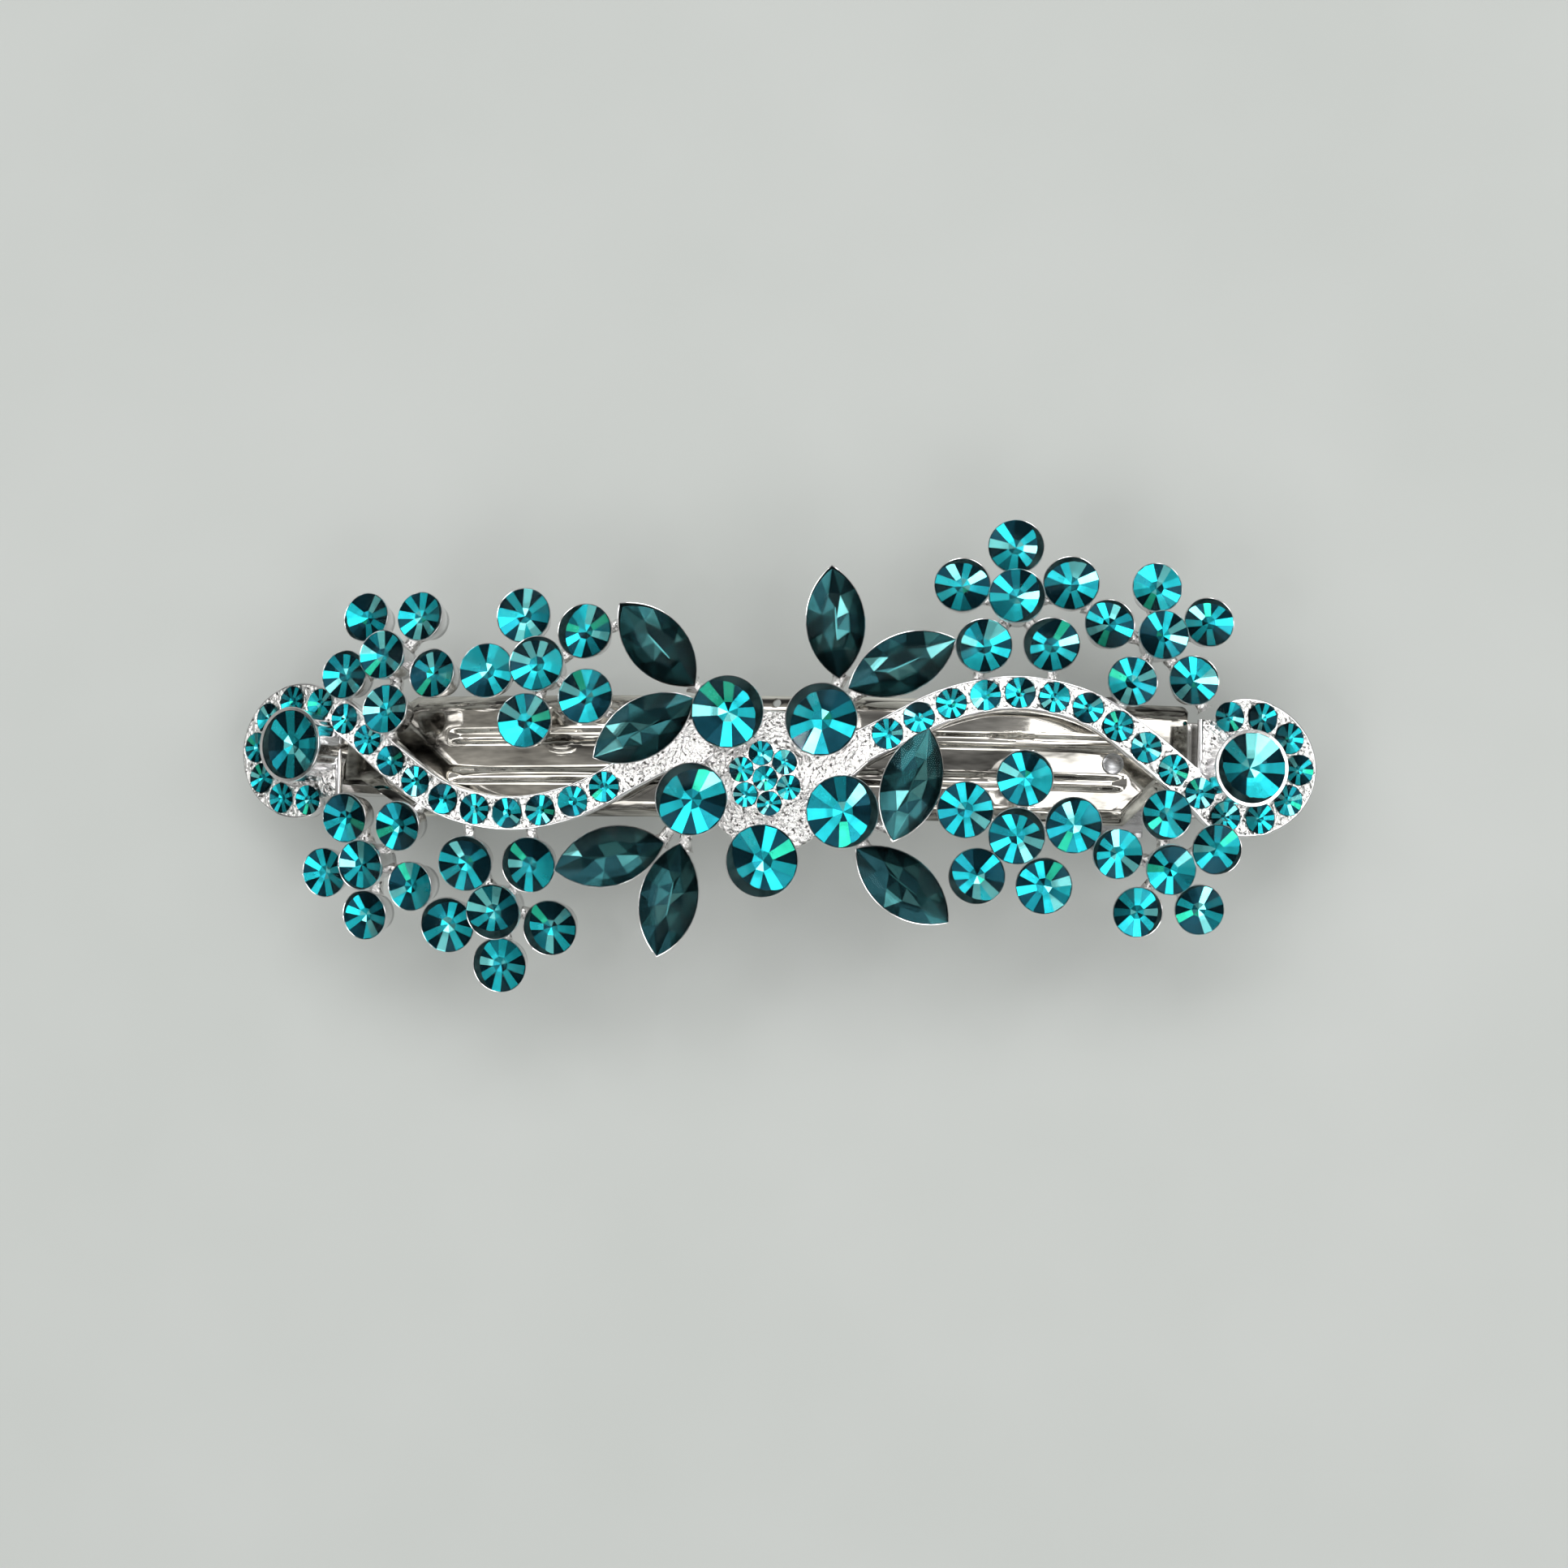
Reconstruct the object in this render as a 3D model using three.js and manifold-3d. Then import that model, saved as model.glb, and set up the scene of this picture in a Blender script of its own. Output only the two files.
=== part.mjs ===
// A rhinestone hair clip: a sprung barrette with a jewelled casting fixed on its arched plate.
// Millimetres. X runs along the clip with the hinge at -X, Y across it, Z up.
// The clip is closed and lies on the two feet of its clasp arm at Z = 0.

import * as THREE from 'three';
import { mergeVertices } from 'three/addons/utils/BufferGeometryUtils.js';
import Module from 'manifold-3d';

const wasm = await Module();
wasm.setup();

// ---------------------------------------------------------------- driving dimensions

const joinGap = 0.3; // left between pieces of the casting that are cut back from each other
const middle = new THREE.Vector2(0.9, -2.3); // where the middle flower stands
const castingShift = new THREE.Vector3(0.6, 0.1, 0); // brings the finished outline centrally over the origin

// arched base plate
const plateTop = 13; // top face at the middle of the arch
const plateArchRadius = 92;
const plateThickness = 0.8;
const plateHalfWidth = 5.25;
const flangeWidth = 1.1;
const flangeDrop = 0.8;
const plateStart = -38.2; // where the plate runs into its hinge barrel
const plateEnd = 36.3;
const barrelTaper = [-36.6, -31.4]; // the plate widens from its barrel between these
const noseTaper = [31, 33.6]; // the front edge steps in between these
const noseFront = -2.4; // the front edge beyond the step
const holePlay = 0.1; // radial play of the rivet in its holes

// hinge
const hinge = new THREE.Vector3(-39.2, 0, 4);
const pinRadius = 0.6;
const pinRun = 0.08; // radial play round the pin
const headRadius = 0.95; // of the pin's and the rivet's heads
const pinHeadHeight = 0.4;
const pinHeadPlay = 0.1; // between a head and the ear
const barrelRadius = 1.35;
const barrelHalf = 2;
const earInner = 2.35; // half the gap between the arm's two ears
const earThickness = 0.8;
const earRadius = 1.5;
const earFoot = [-40.6, -34]; // the ear's straight lower edge runs between these
const earLift = 0.1; // of that edge over the arm's underside
const lugLand = 1; // radius of the ear round the bow's pivot

// clasp arm
const armHalfWidth = 3.15;
const armThickness = 0.8;
const armLow = 1.5; // underside of the arm at the ends of its arch
const armRise = 1;
const armArch = [-31, 27]; // the arch runs between these
const armFootEnd = -34.6;
const noseStart = 34.4;
const noseEnd = 37.6;
const noseLand = 1.4; // the nose's flat foot
const armTail = 1.4; // the arm runs this far past the hinge
const paddleStart = 24;
const paddleHalfWidth = 4.2;
const paddleTaper = 2;
const windowHalf = new THREE.Vector2(3.3, 2.75);

// tension bow
const bowPivot = new THREE.Vector3(-35.1, 0, 2.1);
const bowEnd = 25.2;
const bowHalfWidth = 2.1;
const bowThickness = 0.4;
const bowTop = 4.3;
const bowArchEnd = 29.2; // where the bow's arch would come down to its pivot's height
const bowTipLift = 0.5;
const bowLugRadius = 0.45;
const bowLugReach = 0.7; // into an ear
const bowTail = 0.4; // behind its pivot
const bowTipStart = -20; // the tip's lift builds up from here

// catch
const catchX = 30;
const webGap = 0.1; // between the plate and the catch's web
const webThickness = 0.6;
const legHalf = new THREE.Vector2(2.4, 0.25); // half its width and half its thickness
const legY = 2.1;
const legFoot = 0.75;
const legGap = 0.15; // between a leg and the web above it
// the finger tab's outline beyond the leg, [across, up], from its upper root to its lower root
const tabSection = [
  [2.35, 5.1], [5.7, 4.1], [6.1, 4.3], [6.1, 3.8], [5.7, 3.6], [2.35, 4.5],
];
const toeSection = [[2.35, 1.3], [2.55, 1.15]]; // the small step above the leg's foot
const catchWebHalf = new THREE.Vector2(3, 2.5);
const rivetRadius = 0.6;
const rivetHeadHeight = 0.3;
const rivetSeatPlay = 0.05; // under its upper head
const rivetCrown = 0.7; // radius of the head's flat top
const rivetTail = [-1.7, -1.4]; // the lower head, measured from the plate's mid-thickness

// the domed back of the casting
const backHeight = 13.4;
const lengthRadius = 200; // nearly straight between the two bends
const bendStart = 26;
const bendRadius = 57;
const widthRadius = 57;

// stones
const crownShare = 0.3; // crown height over the stone's half width
const pavilionShare = 0.62;
const culetShare = 0.1;
const flatBack = { share: 0.9, depth: 0.2 }; // of a stone without a pavilion
const tableShare = 0.56;
const girdleHeight = 0.15;
const seatGap = 0.3; // glue gap under a girdle
const largeStone = 3.05;
const endStone = 3;
const clusterStone = 1.05;
const leafHalf = new THREE.Vector2(5, 2.5);

// settings
const cupWall = 0.35;
const roundRim = 0.1; // a setting's rim beyond its stone
const endRim = 0.2;
const leafRim = 0.15;
const cupSides = 12;
const petalHeight = 2.2;
const raisedHeight = 3.6;
const largeHeight = 2.8;
const endHeight = 4;
const leafHeight = 2.6;
const clusterHeight = 2;
const webHeight = 1.3;
const webRadius = 5.9;
const pedestalRadius = 3.35;
const clusterShift = new THREE.Vector2(-0.45, 0.2); // from the large stones' middle
const linkHeight = 0.75;
const linkRadius = 0.5;

// wavy band with its end loop and the raised cup inside it; the right one is turned half round
const bandHalfWidth = 1.45;
const bandThickness = 1.6;
const bands = {
  left: { loop: [-41.5, 0.2], cup: [-40.6, 0.5], halfTurn: false },
  right: { loop: [-40.7, 0.5], cup: [-40.4, 0.7], halfTurn: true },
};
const loopRadius = 4.4;
const loopAngles = [-70, -295];
const wavePoints = [
  [-37, 2.7], [-32.4, -1.1], [-27.8, -4.1], [-22, -5.2], [-16.2, -4.1], [-11, -1.5], [-6.3, 0.8],
];
const halfTurnCentre = new THREE.Vector2(-0.2, 0.1);

// flowers: place, turn of the first petal, and links from a petal to a point beside it
const innerFlower = { stone: 2.35, ring: 4.9 };
const outerFlower = { stone: 2.1, ring: 4.55 };
const flowers = [
  {
    name: 'outer_left_back', size: outerFlower, at: [-32.8, 7.8], turn: 54,
    links: [[2, -38, 3.6], [3, -33.2, 0.4]],
  },
  {
    name: 'inner_left_back', size: innerFlower, at: [-19.3, 7], turn: 40,
    links: [[0, -12, 11.4], [4, -12.4, 2.6], [2, -27, 6.4]],
  },
  {
    name: 'outer_left_front', size: outerFlower, at: [-34.3, -9.4], turn: 46,
    links: [[1, -38.6, -3.6], [0, -29.4, -3.2]],
  },
  {
    name: 'inner_left_front', size: innerFlower, at: [-22.8, -13.1], turn: 53,
    links: [[1, -26, -5], [0, -20.4, -5.4], [2, -29, -12.4]],
  },
  {
    name: 'inner_right_back', size: innerFlower, at: [21.3, 12.9], turn: 20,
    links: [[3, 18, 5.4], [4, 24.6, 5.4], [3, 15.8, 8.8]],
  },
  {
    name: 'outer_right_back', size: outerFlower, at: [33.1, 10], turn: 21,
    links: [[3, 29.8, 3.2], [4, 37.6, 3.8], [2, 26.6, 13.6]],
  },
  {
    name: 'inner_right_front', size: innerFlower, at: [21.8, -6.4], turn: 11,
    links: [[2, 14.4, -4.4]],
  },
  {
    name: 'outer_right_front', size: outerFlower, at: [34, -8.8], turn: 22,
    links: [[1, 35, -2.2], [0, 39.2, -4], [2, 27.4, -6.8]],
  },
];

// pointed leaves: place and heading
const leaves = [
  { name: 'left_1', at: [-9.1, 8.8], turn: -46 },
  { name: 'left_2', at: [-10, 1.9], turn: 31 },
  { name: 'left_3', at: [-12.8, -8.6], turn: 14 },
  { name: 'left_4', at: [-7.7, -12.1], turn: 77 },
  { name: 'right_1', at: [6.1, 10.8], turn: 96 },
  { name: 'right_2', at: [11.9, 7.4], turn: 26 },
  { name: 'right_3', at: [12.9, -2.5], turn: 73 },
  { name: 'right_4', at: [12.2, -10.6], turn: -38 },
];
const largeRing = { count: 5, radius: 6.9, turn: 50 };
const clusterRing = { count: 6, radius: 2.2, turn: 40 };

// ---------------------------------------------------------------- materials

const casting = new THREE.MeshStandardMaterial({ color: 0xd9dadc, roughness: 0.22, metalness: 1 });
const plateSteel = new THREE.MeshStandardMaterial({ color: 0xc4c0bc, roughness: 0.12, metalness: 1 });
const springSteel = new THREE.MeshStandardMaterial({ color: 0x9a9c9e, roughness: 0.3, metalness: 1 });
const zirconGlass = new THREE.MeshStandardMaterial({ color: 0x12aebb, roughness: 0.05, metalness: 0 });
const smokyGlass = new THREE.MeshStandardMaterial({ color: 0x2a6a73, roughness: 0.05, metalness: 0 });

// ---------------------------------------------------------------- shapes

const radians = THREE.MathUtils.degToRad;

function polar(radius, degrees) {
  return new THREE.Vector2(radius * Math.cos(radians(degrees)), radius * Math.sin(radians(degrees)));
}

function spread(from, to, count) {
  return Array.from({ length: count + 1 }, (_, i) => THREE.MathUtils.lerp(from, to, i / count));
}

// 0 before the span, 1 beyond it
function ramp(x, [from, to]) {
  return THREE.MathUtils.clamp((x - from) / (to - from), 0, 1);
}

function circleOutline(radius, sides) {
  return Array.from({ length: sides }, (_, i) => polar(radius, (360 * i) / sides));
}

// two arcs that meet in a point at each end
function leafOutline(halfLength, halfWidth, steps = 7) {
  const bow = (halfLength ** 2 + halfWidth ** 2) / (2 * halfWidth);
  const reach = Math.asin(halfLength / bow);
  const upper = spread(reach, -reach, steps).map(
    (a) => new THREE.Vector2(bow * Math.sin(a), bow * Math.cos(a) - bow + halfWidth),
  );
  const lower = upper.slice(1, -1).map((p) => new THREE.Vector2(-p.x, -p.y));
  return [...upper, ...lower];
}

function layer(outline, scale, z) {
  return outline.map((p) => new THREE.Vector3(p.x * scale, p.y * scale, z));
}

// a closed body through rings of equally many points, its end rings closed in strips
function loft(rings) {
  const count = rings[0].length;
  const triangles = [];
  const quad = (a, b, c, d) => triangles.push(a, b, c, a, c, d);
  for (let r = 0; r + 1 < rings.length; r += 1) {
    for (let i = 0; i < count; i += 1) {
      const next = (i + 1) % count;
      quad(r * count + i, r * count + next, (r + 1) * count + next, (r + 1) * count + i);
    }
  }
  const last = (rings.length - 1) * count;
  for (let i = 0; i < count / 2 - 1; i += 1) {
    quad(count - 1 - i, count - 2 - i, i + 1, i);
    quad(last + i, last + i + 1, last + count - 2 - i, last + count - 1 - i);
  }
  const geometry = new THREE.BufferGeometry().setFromPoints(rings.flat());
  geometry.setIndex(volumeOf(rings.flat(), triangles) < 0 ? triangles.reverse() : triangles);
  return geometry;
}

function volumeOf(points, triangles) {
  let sum = 0;
  for (let t = 0; t < triangles.length; t += 3) {
    const [a, b, c] = triangles.slice(t, t + 3).map((i) => points[i]);
    sum += a.dot(b.clone().cross(c)) / 6;
  }
  return sum;
}

function prism(outline, low, high) {
  return loft([layer(outline, 1, low), layer(outline, 1, high)]);
}

// a cup with a tapered seat
function cup(outline, height, radius) {
  const seat = 1 - cupWall / radius;
  return loft([
    layer(outline, 1, 0),
    layer(outline, 1, height),
    layer(outline, seat, height),
    layer(outline, seat * 0.35, height * 0.28),
  ]);
}

// a cut stone with its girdle at z = 0, pointed below, or flat when it has no pavilion
function stone(outline, radius, pavilion = pavilionShare) {
  const back = pavilion > 0 ? { share: culetShare, depth: radius * pavilion } : flatBack;
  return loft([
    layer(outline, back.share, -back.depth),
    layer(outline, 1, 0),
    layer(outline, 1, girdleHeight),
    layer(outline, tableShare, girdleHeight + radius * crownShare),
  ]);
}

function strut(from, to, radius) {
  const axis = to.clone().sub(from);
  const rod = new THREE.CylinderGeometry(radius, radius, axis.length(), 6);
  const upright = new THREE.Vector3(0, 1, 0);
  rod.applyQuaternion(new THREE.Quaternion().setFromUnitVectors(upright, axis.clone().normalize()));
  rod.translate(...from.clone().add(to).multiplyScalar(0.5));
  return rod;
}

function box(low, high) {
  const size = high.clone().sub(low);
  const centre = low.clone().add(high).multiplyScalar(0.5);
  return new THREE.BoxGeometry(size.x, size.y, size.z).translate(...centre);
}

// a disc or rod across the clip, centred on a point of the XZ plane
function crossRod(centre, radius, yLow, yHigh, sides = 16) {
  const rod = new THREE.CylinderGeometry(radius, radius, yHigh - yLow, sides);
  return rod.translate(centre.x, (yLow + yHigh) / 2, centre.z);
}

// ---------------------------------------------------------------- joining and cutting

function solid(geometry) {
  const bare = geometry.clone();
  bare.deleteAttribute('normal');
  bare.deleteAttribute('uv');
  const merged = mergeVertices(bare, 1e-5);
  return new wasm.Manifold(new wasm.Mesh({
    numProp: 3,
    vertProperties: new Float32Array(merged.attributes.position.array),
    triVerts: new Uint32Array(merged.index.array),
  }));
}

function joined(geometries) {
  return geometries.map(solid).reduce((whole, part) => whole.add(part));
}

function geometryOf(manifold) {
  const mesh = manifold.getMesh();
  const geometry = new THREE.BufferGeometry();
  geometry.setAttribute('position', new THREE.BufferAttribute(new Float32Array(mesh.vertProperties), 3));
  geometry.setIndex(new THREE.BufferAttribute(new Uint32Array(mesh.triVerts), 1));
  return geometry;
}

function named(name, geometry, material) {
  const mesh = new THREE.Mesh(geometry, material);
  geometry.computeVertexNormals();
  mesh.name = name;
  return mesh;
}

// ---------------------------------------------------------------- the casting's dome

function bend(x) {
  return Math.max(0, Math.abs(x) - bendStart);
}

function domeHeight(x, y) {
  const along = x ** 2 / (2 * lengthRadius) + bend(x) ** 2 / (2 * bendRadius);
  return backHeight - along - y ** 2 / (2 * widthRadius);
}

function domeNormal(x, y) {
  const slopeX = x / lengthRadius + (Math.sign(x) * bend(x)) / bendRadius;
  return new THREE.Vector3(slopeX, y / widthRadius, 1).normalize();
}

function domePoint(x, y, lift = 0) {
  return domeNormal(x, y).multiplyScalar(lift).add(new THREE.Vector3(x, y, domeHeight(x, y)));
}

// a group that stands on the dome at a place, turned about the dome's normal
function standing(x, y, turn) {
  const group = new THREE.Group();
  const up = domeNormal(x, y);
  const along = new THREE.Vector3(0, 1, 0).cross(up).normalize();
  const across = up.clone().cross(along);
  group.quaternion.setFromRotationMatrix(new THREE.Matrix4().makeBasis(along, across, up));
  group.rotateZ(radians(turn));
  group.position.copy(domePoint(x, y));
  group.updateMatrixWorld();
  return group;
}

function seated(name, geometry, material, at, height) {
  const mesh = named(name, geometry, material);
  mesh.position.set(at.x, at.y, height);
  return mesh;
}

function ringPlaces({ count, radius, turn = 0 }) {
  return Array.from({ length: count }, (_, i) => polar(radius, turn + (360 * i) / count));
}

function lifted(place, z) {
  return new THREE.Vector3(place.x, place.y, z);
}

// ---------------------------------------------------------------- the barrette

function plateHeight(x) {
  return plateTop - x ** 2 / (2 * plateArchRadius);
}

// the section of the plate at x: a flat land between two flanges that slope down
function plateSection(x) {
  const wide = THREE.MathUtils.lerp(barrelHalf, plateHalfWidth, ramp(x, barrelTaper));
  const front = THREE.MathUtils.lerp(-wide, noseFront, ramp(x, noseTaper));
  const fold = ramp(x, barrelTaper) * flangeWidth;
  const drop = ramp(x, barrelTaper) * flangeDrop;
  const top = [[front, -drop], [front + fold, 0], [wide - fold, 0], [wide, -drop]];
  const under = top.toReversed().map(([y, z]) => [y, z - plateThickness]);
  return [...top, ...under].map(([y, z]) => new THREE.Vector3(x, y, plateHeight(x) + z));
}

function basePlate() {
  const stations = [...spread(plateStart, barrelTaper[0], 2), ...spread(...barrelTaper, 3).slice(1),
    ...spread(barrelTaper[1], noseTaper[0], 22).slice(1), ...spread(...noseTaper, 2).slice(1),
    ...spread(noseTaper[1], plateEnd, 2).slice(1)];
  const body = solid(loft(stations.map(plateSection)));
  const barrel = solid(crossRod(hinge, barrelRadius, -barrelHalf, barrelHalf));
  const bore = solid(crossRod(hinge, pinRadius + pinRun, -barrelHalf - 1, barrelHalf + 1));
  const rivetHole = solid(rivetShank(rivetRadius + holePlay, 2));
  return named('base_plate', geometryOf(body.add(barrel).subtract(bore).subtract(rivetHole)), plateSteel);
}

function hingePin() {
  const inner = -earInner - earThickness - pinHeadPlay;
  const outer = inner - pinHeadHeight;
  const profile = [[0, outer], [headRadius, outer], [headRadius, inner], [pinRadius, inner]];
  const mirrored = profile.toReversed().map(([r, y]) => [r, -y]);
  const points = [...profile, ...mirrored].map(([r, y]) => new THREE.Vector2(r, y));
  const pin = named('hinge_pin', new THREE.LatheGeometry(points, 16), springSteel);
  pin.position.copy(hinge);
  return pin;
}

function archLift(x, span) {
  const across = ramp(x, span);
  return 4 * across * (1 - across);
}

// underside of the arm: a foot at the hinge, a long arch, and a nose turned down to a foot
function armUnderside(x) {
  const fromFoot = THREE.MathUtils.smoothstep(x, armFootEnd, armArch[0]);
  const toNose = 1 - THREE.MathUtils.smoothstep(x, noseStart, noseEnd - noseLand);
  return armLow * fromFoot * toNose + armRise * archLift(x, armArch);
}

function strip(stations, halfWidth, underside, thickness) {
  return loft(stations.map((x) => {
    const half = halfWidth(x);
    const low = underside(x);
    return [[-half, low], [half, low], [half, low + thickness], [-half, low + thickness]].map(
      ([y, z]) => new THREE.Vector3(x, y, z),
    );
  }));
}

function earOutline() {
  const foot = earFoot.map((x) => new THREE.Vector2(x, earLift));
  const round = (centre, radius, from, to, steps) => spread(from, to, steps).map(
    (a) => polar(radius, a).add(new THREE.Vector2(centre.x, centre.z)),
  );
  return [...foot, ...round(bowPivot, lugLand, -20, 110, 5), ...round(hinge, earRadius, 60, 180, 6)];
}

function ear(side) {
  const shape = new THREE.Shape(earOutline());
  const plate = new THREE.ExtrudeGeometry(shape, { depth: earThickness, bevelEnabled: false });
  plate.rotateX(Math.PI / 2);
  return plate.translate(0, side > 0 ? earInner + earThickness : -earInner, 0);
}

function claspArm() {
  const stations = [hinge.x - armTail, armFootEnd, ...spread(armFootEnd, armArch[0], 4).slice(1),
    ...spread(armArch[0], paddleStart, 14).slice(1), ...spread(paddleStart, noseStart, 5).slice(1),
    ...spread(noseStart, noseEnd - noseLand, 5).slice(1), noseEnd];
  const widening = [paddleStart, paddleStart + paddleTaper];
  const paddle = (x) => THREE.MathUtils.lerp(armHalfWidth, paddleHalfWidth, ramp(x, widening));
  const body = solid(strip(stations, paddle, armUnderside, armThickness));
  const opening = solid(box(
    new THREE.Vector3(catchX - windowHalf.x, -windowHalf.y, -1),
    new THREE.Vector3(catchX + windowHalf.x, windowHalf.y, 5),
  ));
  const bores = joined([
    crossRod(hinge, pinRadius + pinRun, -5, 5),
    crossRod(bowPivot, bowLugRadius + pinRun, -5, 5, 12),
  ]);
  const whole = body.add(solid(ear(1))).add(solid(ear(-1))).subtract(opening).subtract(bores);
  return named('clasp_arm', geometryOf(whole), plateSteel);
}

// the bow rises from its pivot over the arm and comes down again short of the catch
function bowUnderside(x) {
  const low = bowPivot.z - bowThickness / 2;
  const arch = archLift(x, [bowPivot.x, bowArchEnd]);
  return low + (bowTop - bowThickness - low) * arch + bowTipLift * ramp(x, [bowTipStart, bowEnd]);
}

function tensionBow() {
  const stations = spread(bowPivot.x - bowTail, bowEnd, 18);
  const leaf = solid(strip(stations, () => bowHalfWidth, bowUnderside, bowThickness));
  const reach = earInner + bowLugReach;
  const lugs = solid(crossRod(bowPivot, bowLugRadius, -reach, reach, 12));
  return named('tension_bow', geometryOf(leaf.add(lugs)), springSteel);
}

function plateSlope(x) {
  return Math.atan(x / plateArchRadius);
}

function rivetShank(radius, length) {
  const shank = new THREE.CylinderGeometry(radius, radius, length, 12).rotateX(Math.PI / 2);
  return shank.rotateY(plateSlope(catchX)).translate(catchX, 0, plateHeight(catchX) - plateThickness / 2);
}

function catchRivet() {
  const half = plateThickness / 2;
  const [low, neck] = rivetTail;
  const seat = half + rivetSeatPlay;
  const top = seat + rivetHeadHeight;
  const profile = [[0, low], [headRadius, low], [headRadius, neck], [rivetRadius, neck],
    [rivetRadius, seat], [headRadius, seat], [rivetCrown, top], [0, top]];
  const points = profile.map(([r, z]) => new THREE.Vector2(r, z));
  const rivet = named('catch_rivet', new THREE.LatheGeometry(points, 12).rotateX(Math.PI / 2), springSteel);
  rivet.position.set(catchX, 0, plateHeight(catchX) - half);
  rivet.rotation.y = plateSlope(catchX);
  return rivet;
}

// a box given in the catch's sloping frame, whose origin is on the plate's underside
function slopedBox(low, high) {
  const block = box(new THREE.Vector3(...low), new THREE.Vector3(...high));
  return block.rotateY(plateSlope(catchX)).translate(catchX, 0, plateHeight(catchX) - plateThickness);
}

function catchBracket() {
  const { x, y } = catchWebHalf;
  const web = solid(slopedBox([-x, -y, -webGap - webThickness], [x, y, -webGap]));
  const hole = solid(rivetShank(rivetRadius + holePlay, 6));
  return named('catch_bracket', geometryOf(web.subtract(hole)), springSteel);
}

// one spring leg: it hangs from the web's edge, passes down through the arm's window
// and carries a finger tab
function catchLeg(name, side) {
  const inner = legY - legHalf.y;
  const outer = legY + legHalf.y;
  const section = [[inner, plateTop], [outer, plateTop], ...tabSection, ...toeSection, [outer, legFoot],
    [inner, legFoot]];
  const shape = new THREE.Shape(section.map(([y, z]) => new THREE.Vector2(side * y, z)));
  const leg = new THREE.ExtrudeGeometry(shape, { depth: 2 * legHalf.x, bevelEnabled: false });
  leg.applyMatrix4(new THREE.Matrix4().makeBasis(
    new THREE.Vector3(0, 1, 0), new THREE.Vector3(0, 0, 1), new THREE.Vector3(1, 0, 0),
  ));
  leg.translate(catchX - legHalf.x, 0, 0);
  const above = slopedBox([-9, -9, -webGap - webThickness - legGap], [9, 9, 9]);
  return named(name, geometryOf(solid(leg).subtract(solid(above))), springSteel);
}

// ---------------------------------------------------------------- the casting

// grow makes every outline larger, for the room that a neighbour leaves
function middleCasting(group, grow) {
  const cupRadius = largeStone + roundRim + grow;
  const web = prism(circleOutline(webRadius + grow, 24), -grow, webHeight + grow);
  const pedestal = prism(circleOutline(pedestalRadius + grow, 18), 0, clusterHeight + grow);
  pedestal.translate(clusterShift.x, clusterShift.y, 0);
  const cups = ringPlaces(largeRing).map((at) => {
    const outline = circleOutline(cupRadius, 16);
    const body = grow > 0 ? prism(outline, -grow, largeHeight + grow) : cup(outline, largeHeight, cupRadius);
    return body.translate(at.x, at.y, 0);
  });
  return joined([web, pedestal, ...cups]).transform(group.matrixWorld.elements);
}

// the loop and the wave as one line in plan
function bandLine({ loop, halfTurn }) {
  const round = spread(...loopAngles, 9).map((a) => polar(loopRadius, a).add(new THREE.Vector2(...loop)));
  const wave = wavePoints.map(([x, y]) => new THREE.Vector2(x, y));
  const points = [...round, ...wave];
  if (halfTurn) points.forEach((p) => p.rotateAround(halfTurnCentre, Math.PI));
  return new THREE.SplineCurve(points);
}

function bandRibbon(line, grow) {
  const steps = 52;
  const rings = line.getSpacedPoints(steps).map((p, i) => {
    const ahead = line.getTangentAt(i / steps);
    const side = new THREE.Vector2(-ahead.y, ahead.x).multiplyScalar(bandHalfWidth + grow);
    const left = p.clone().add(side);
    const right = p.clone().sub(side);
    return [domePoint(left.x, left.y, -grow), domePoint(right.x, right.y, -grow),
      domePoint(right.x, right.y, bandThickness + grow), domePoint(left.x, left.y, bandThickness + grow)];
  });
  return loft(rings);
}

function endCup(group, grow) {
  const radius = endStone + endRim + grow;
  const outline = circleOutline(radius, 16);
  const body = grow > 0 ? prism(outline, -grow, endHeight + grow) : cup(outline, endHeight, radius);
  return solid(body).transform(group.matrixWorld.elements);
}

function bandCasting(line, endGroup, grow) {
  return solid(bandRibbon(line, grow)).add(endCup(endGroup, grow));
}

function leafCasting(leaf, group, grow) {
  const rim = leafRim + grow;
  const outline = leafOutline(leafHalf.x + rim, leafHalf.y + rim);
  const body = grow > 0 ? prism(outline, -grow, leafHeight + grow) : cup(outline, leafHeight, leafHalf.y);
  return solid(body).transform(group.matrixWorld.elements);
}

function flowerCasting({ size, links }, group, grow) {
  const postRadius = size.stone - roundRim + grow;
  const outline = circleOutline(postRadius, cupSides);
  const room = prism(outline, -grow, raisedHeight + grow);
  const raised = grow > 0 ? room : cup(outline, raisedHeight, postRadius);
  const petals = ringPlaces({ count: 5, radius: size.ring });
  const posts = petals.map((at) => prism(outline, -grow, petalHeight + grow).translate(at.x, at.y, 0));
  const hub = lifted({ x: 0, y: 0 }, linkHeight);
  const spokes = petals.map((at) => strut(lifted(at, linkHeight), hub, linkRadius + grow));
  const reaches = links.map(([petal, x, y]) => {
    const target = group.worldToLocal(domePoint(x, y, linkHeight));
    return strut(lifted(petals[petal], linkHeight), target, linkRadius + grow);
  });
  return joined([raised, ...posts, ...spokes, ...reaches]).transform(group.matrixWorld.elements);
}

// ---------------------------------------------------------------- assembly

const clip = new THREE.Group();
const decoration = new THREE.Group();

function buildBarrette() {
  clip.add(claspArm(), hingePin(), tensionBow(), basePlate(), catchBracket(), catchRivet());
  clip.add(catchLeg('catch_leg_back', 1), catchLeg('catch_leg_front', -1));
}

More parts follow.
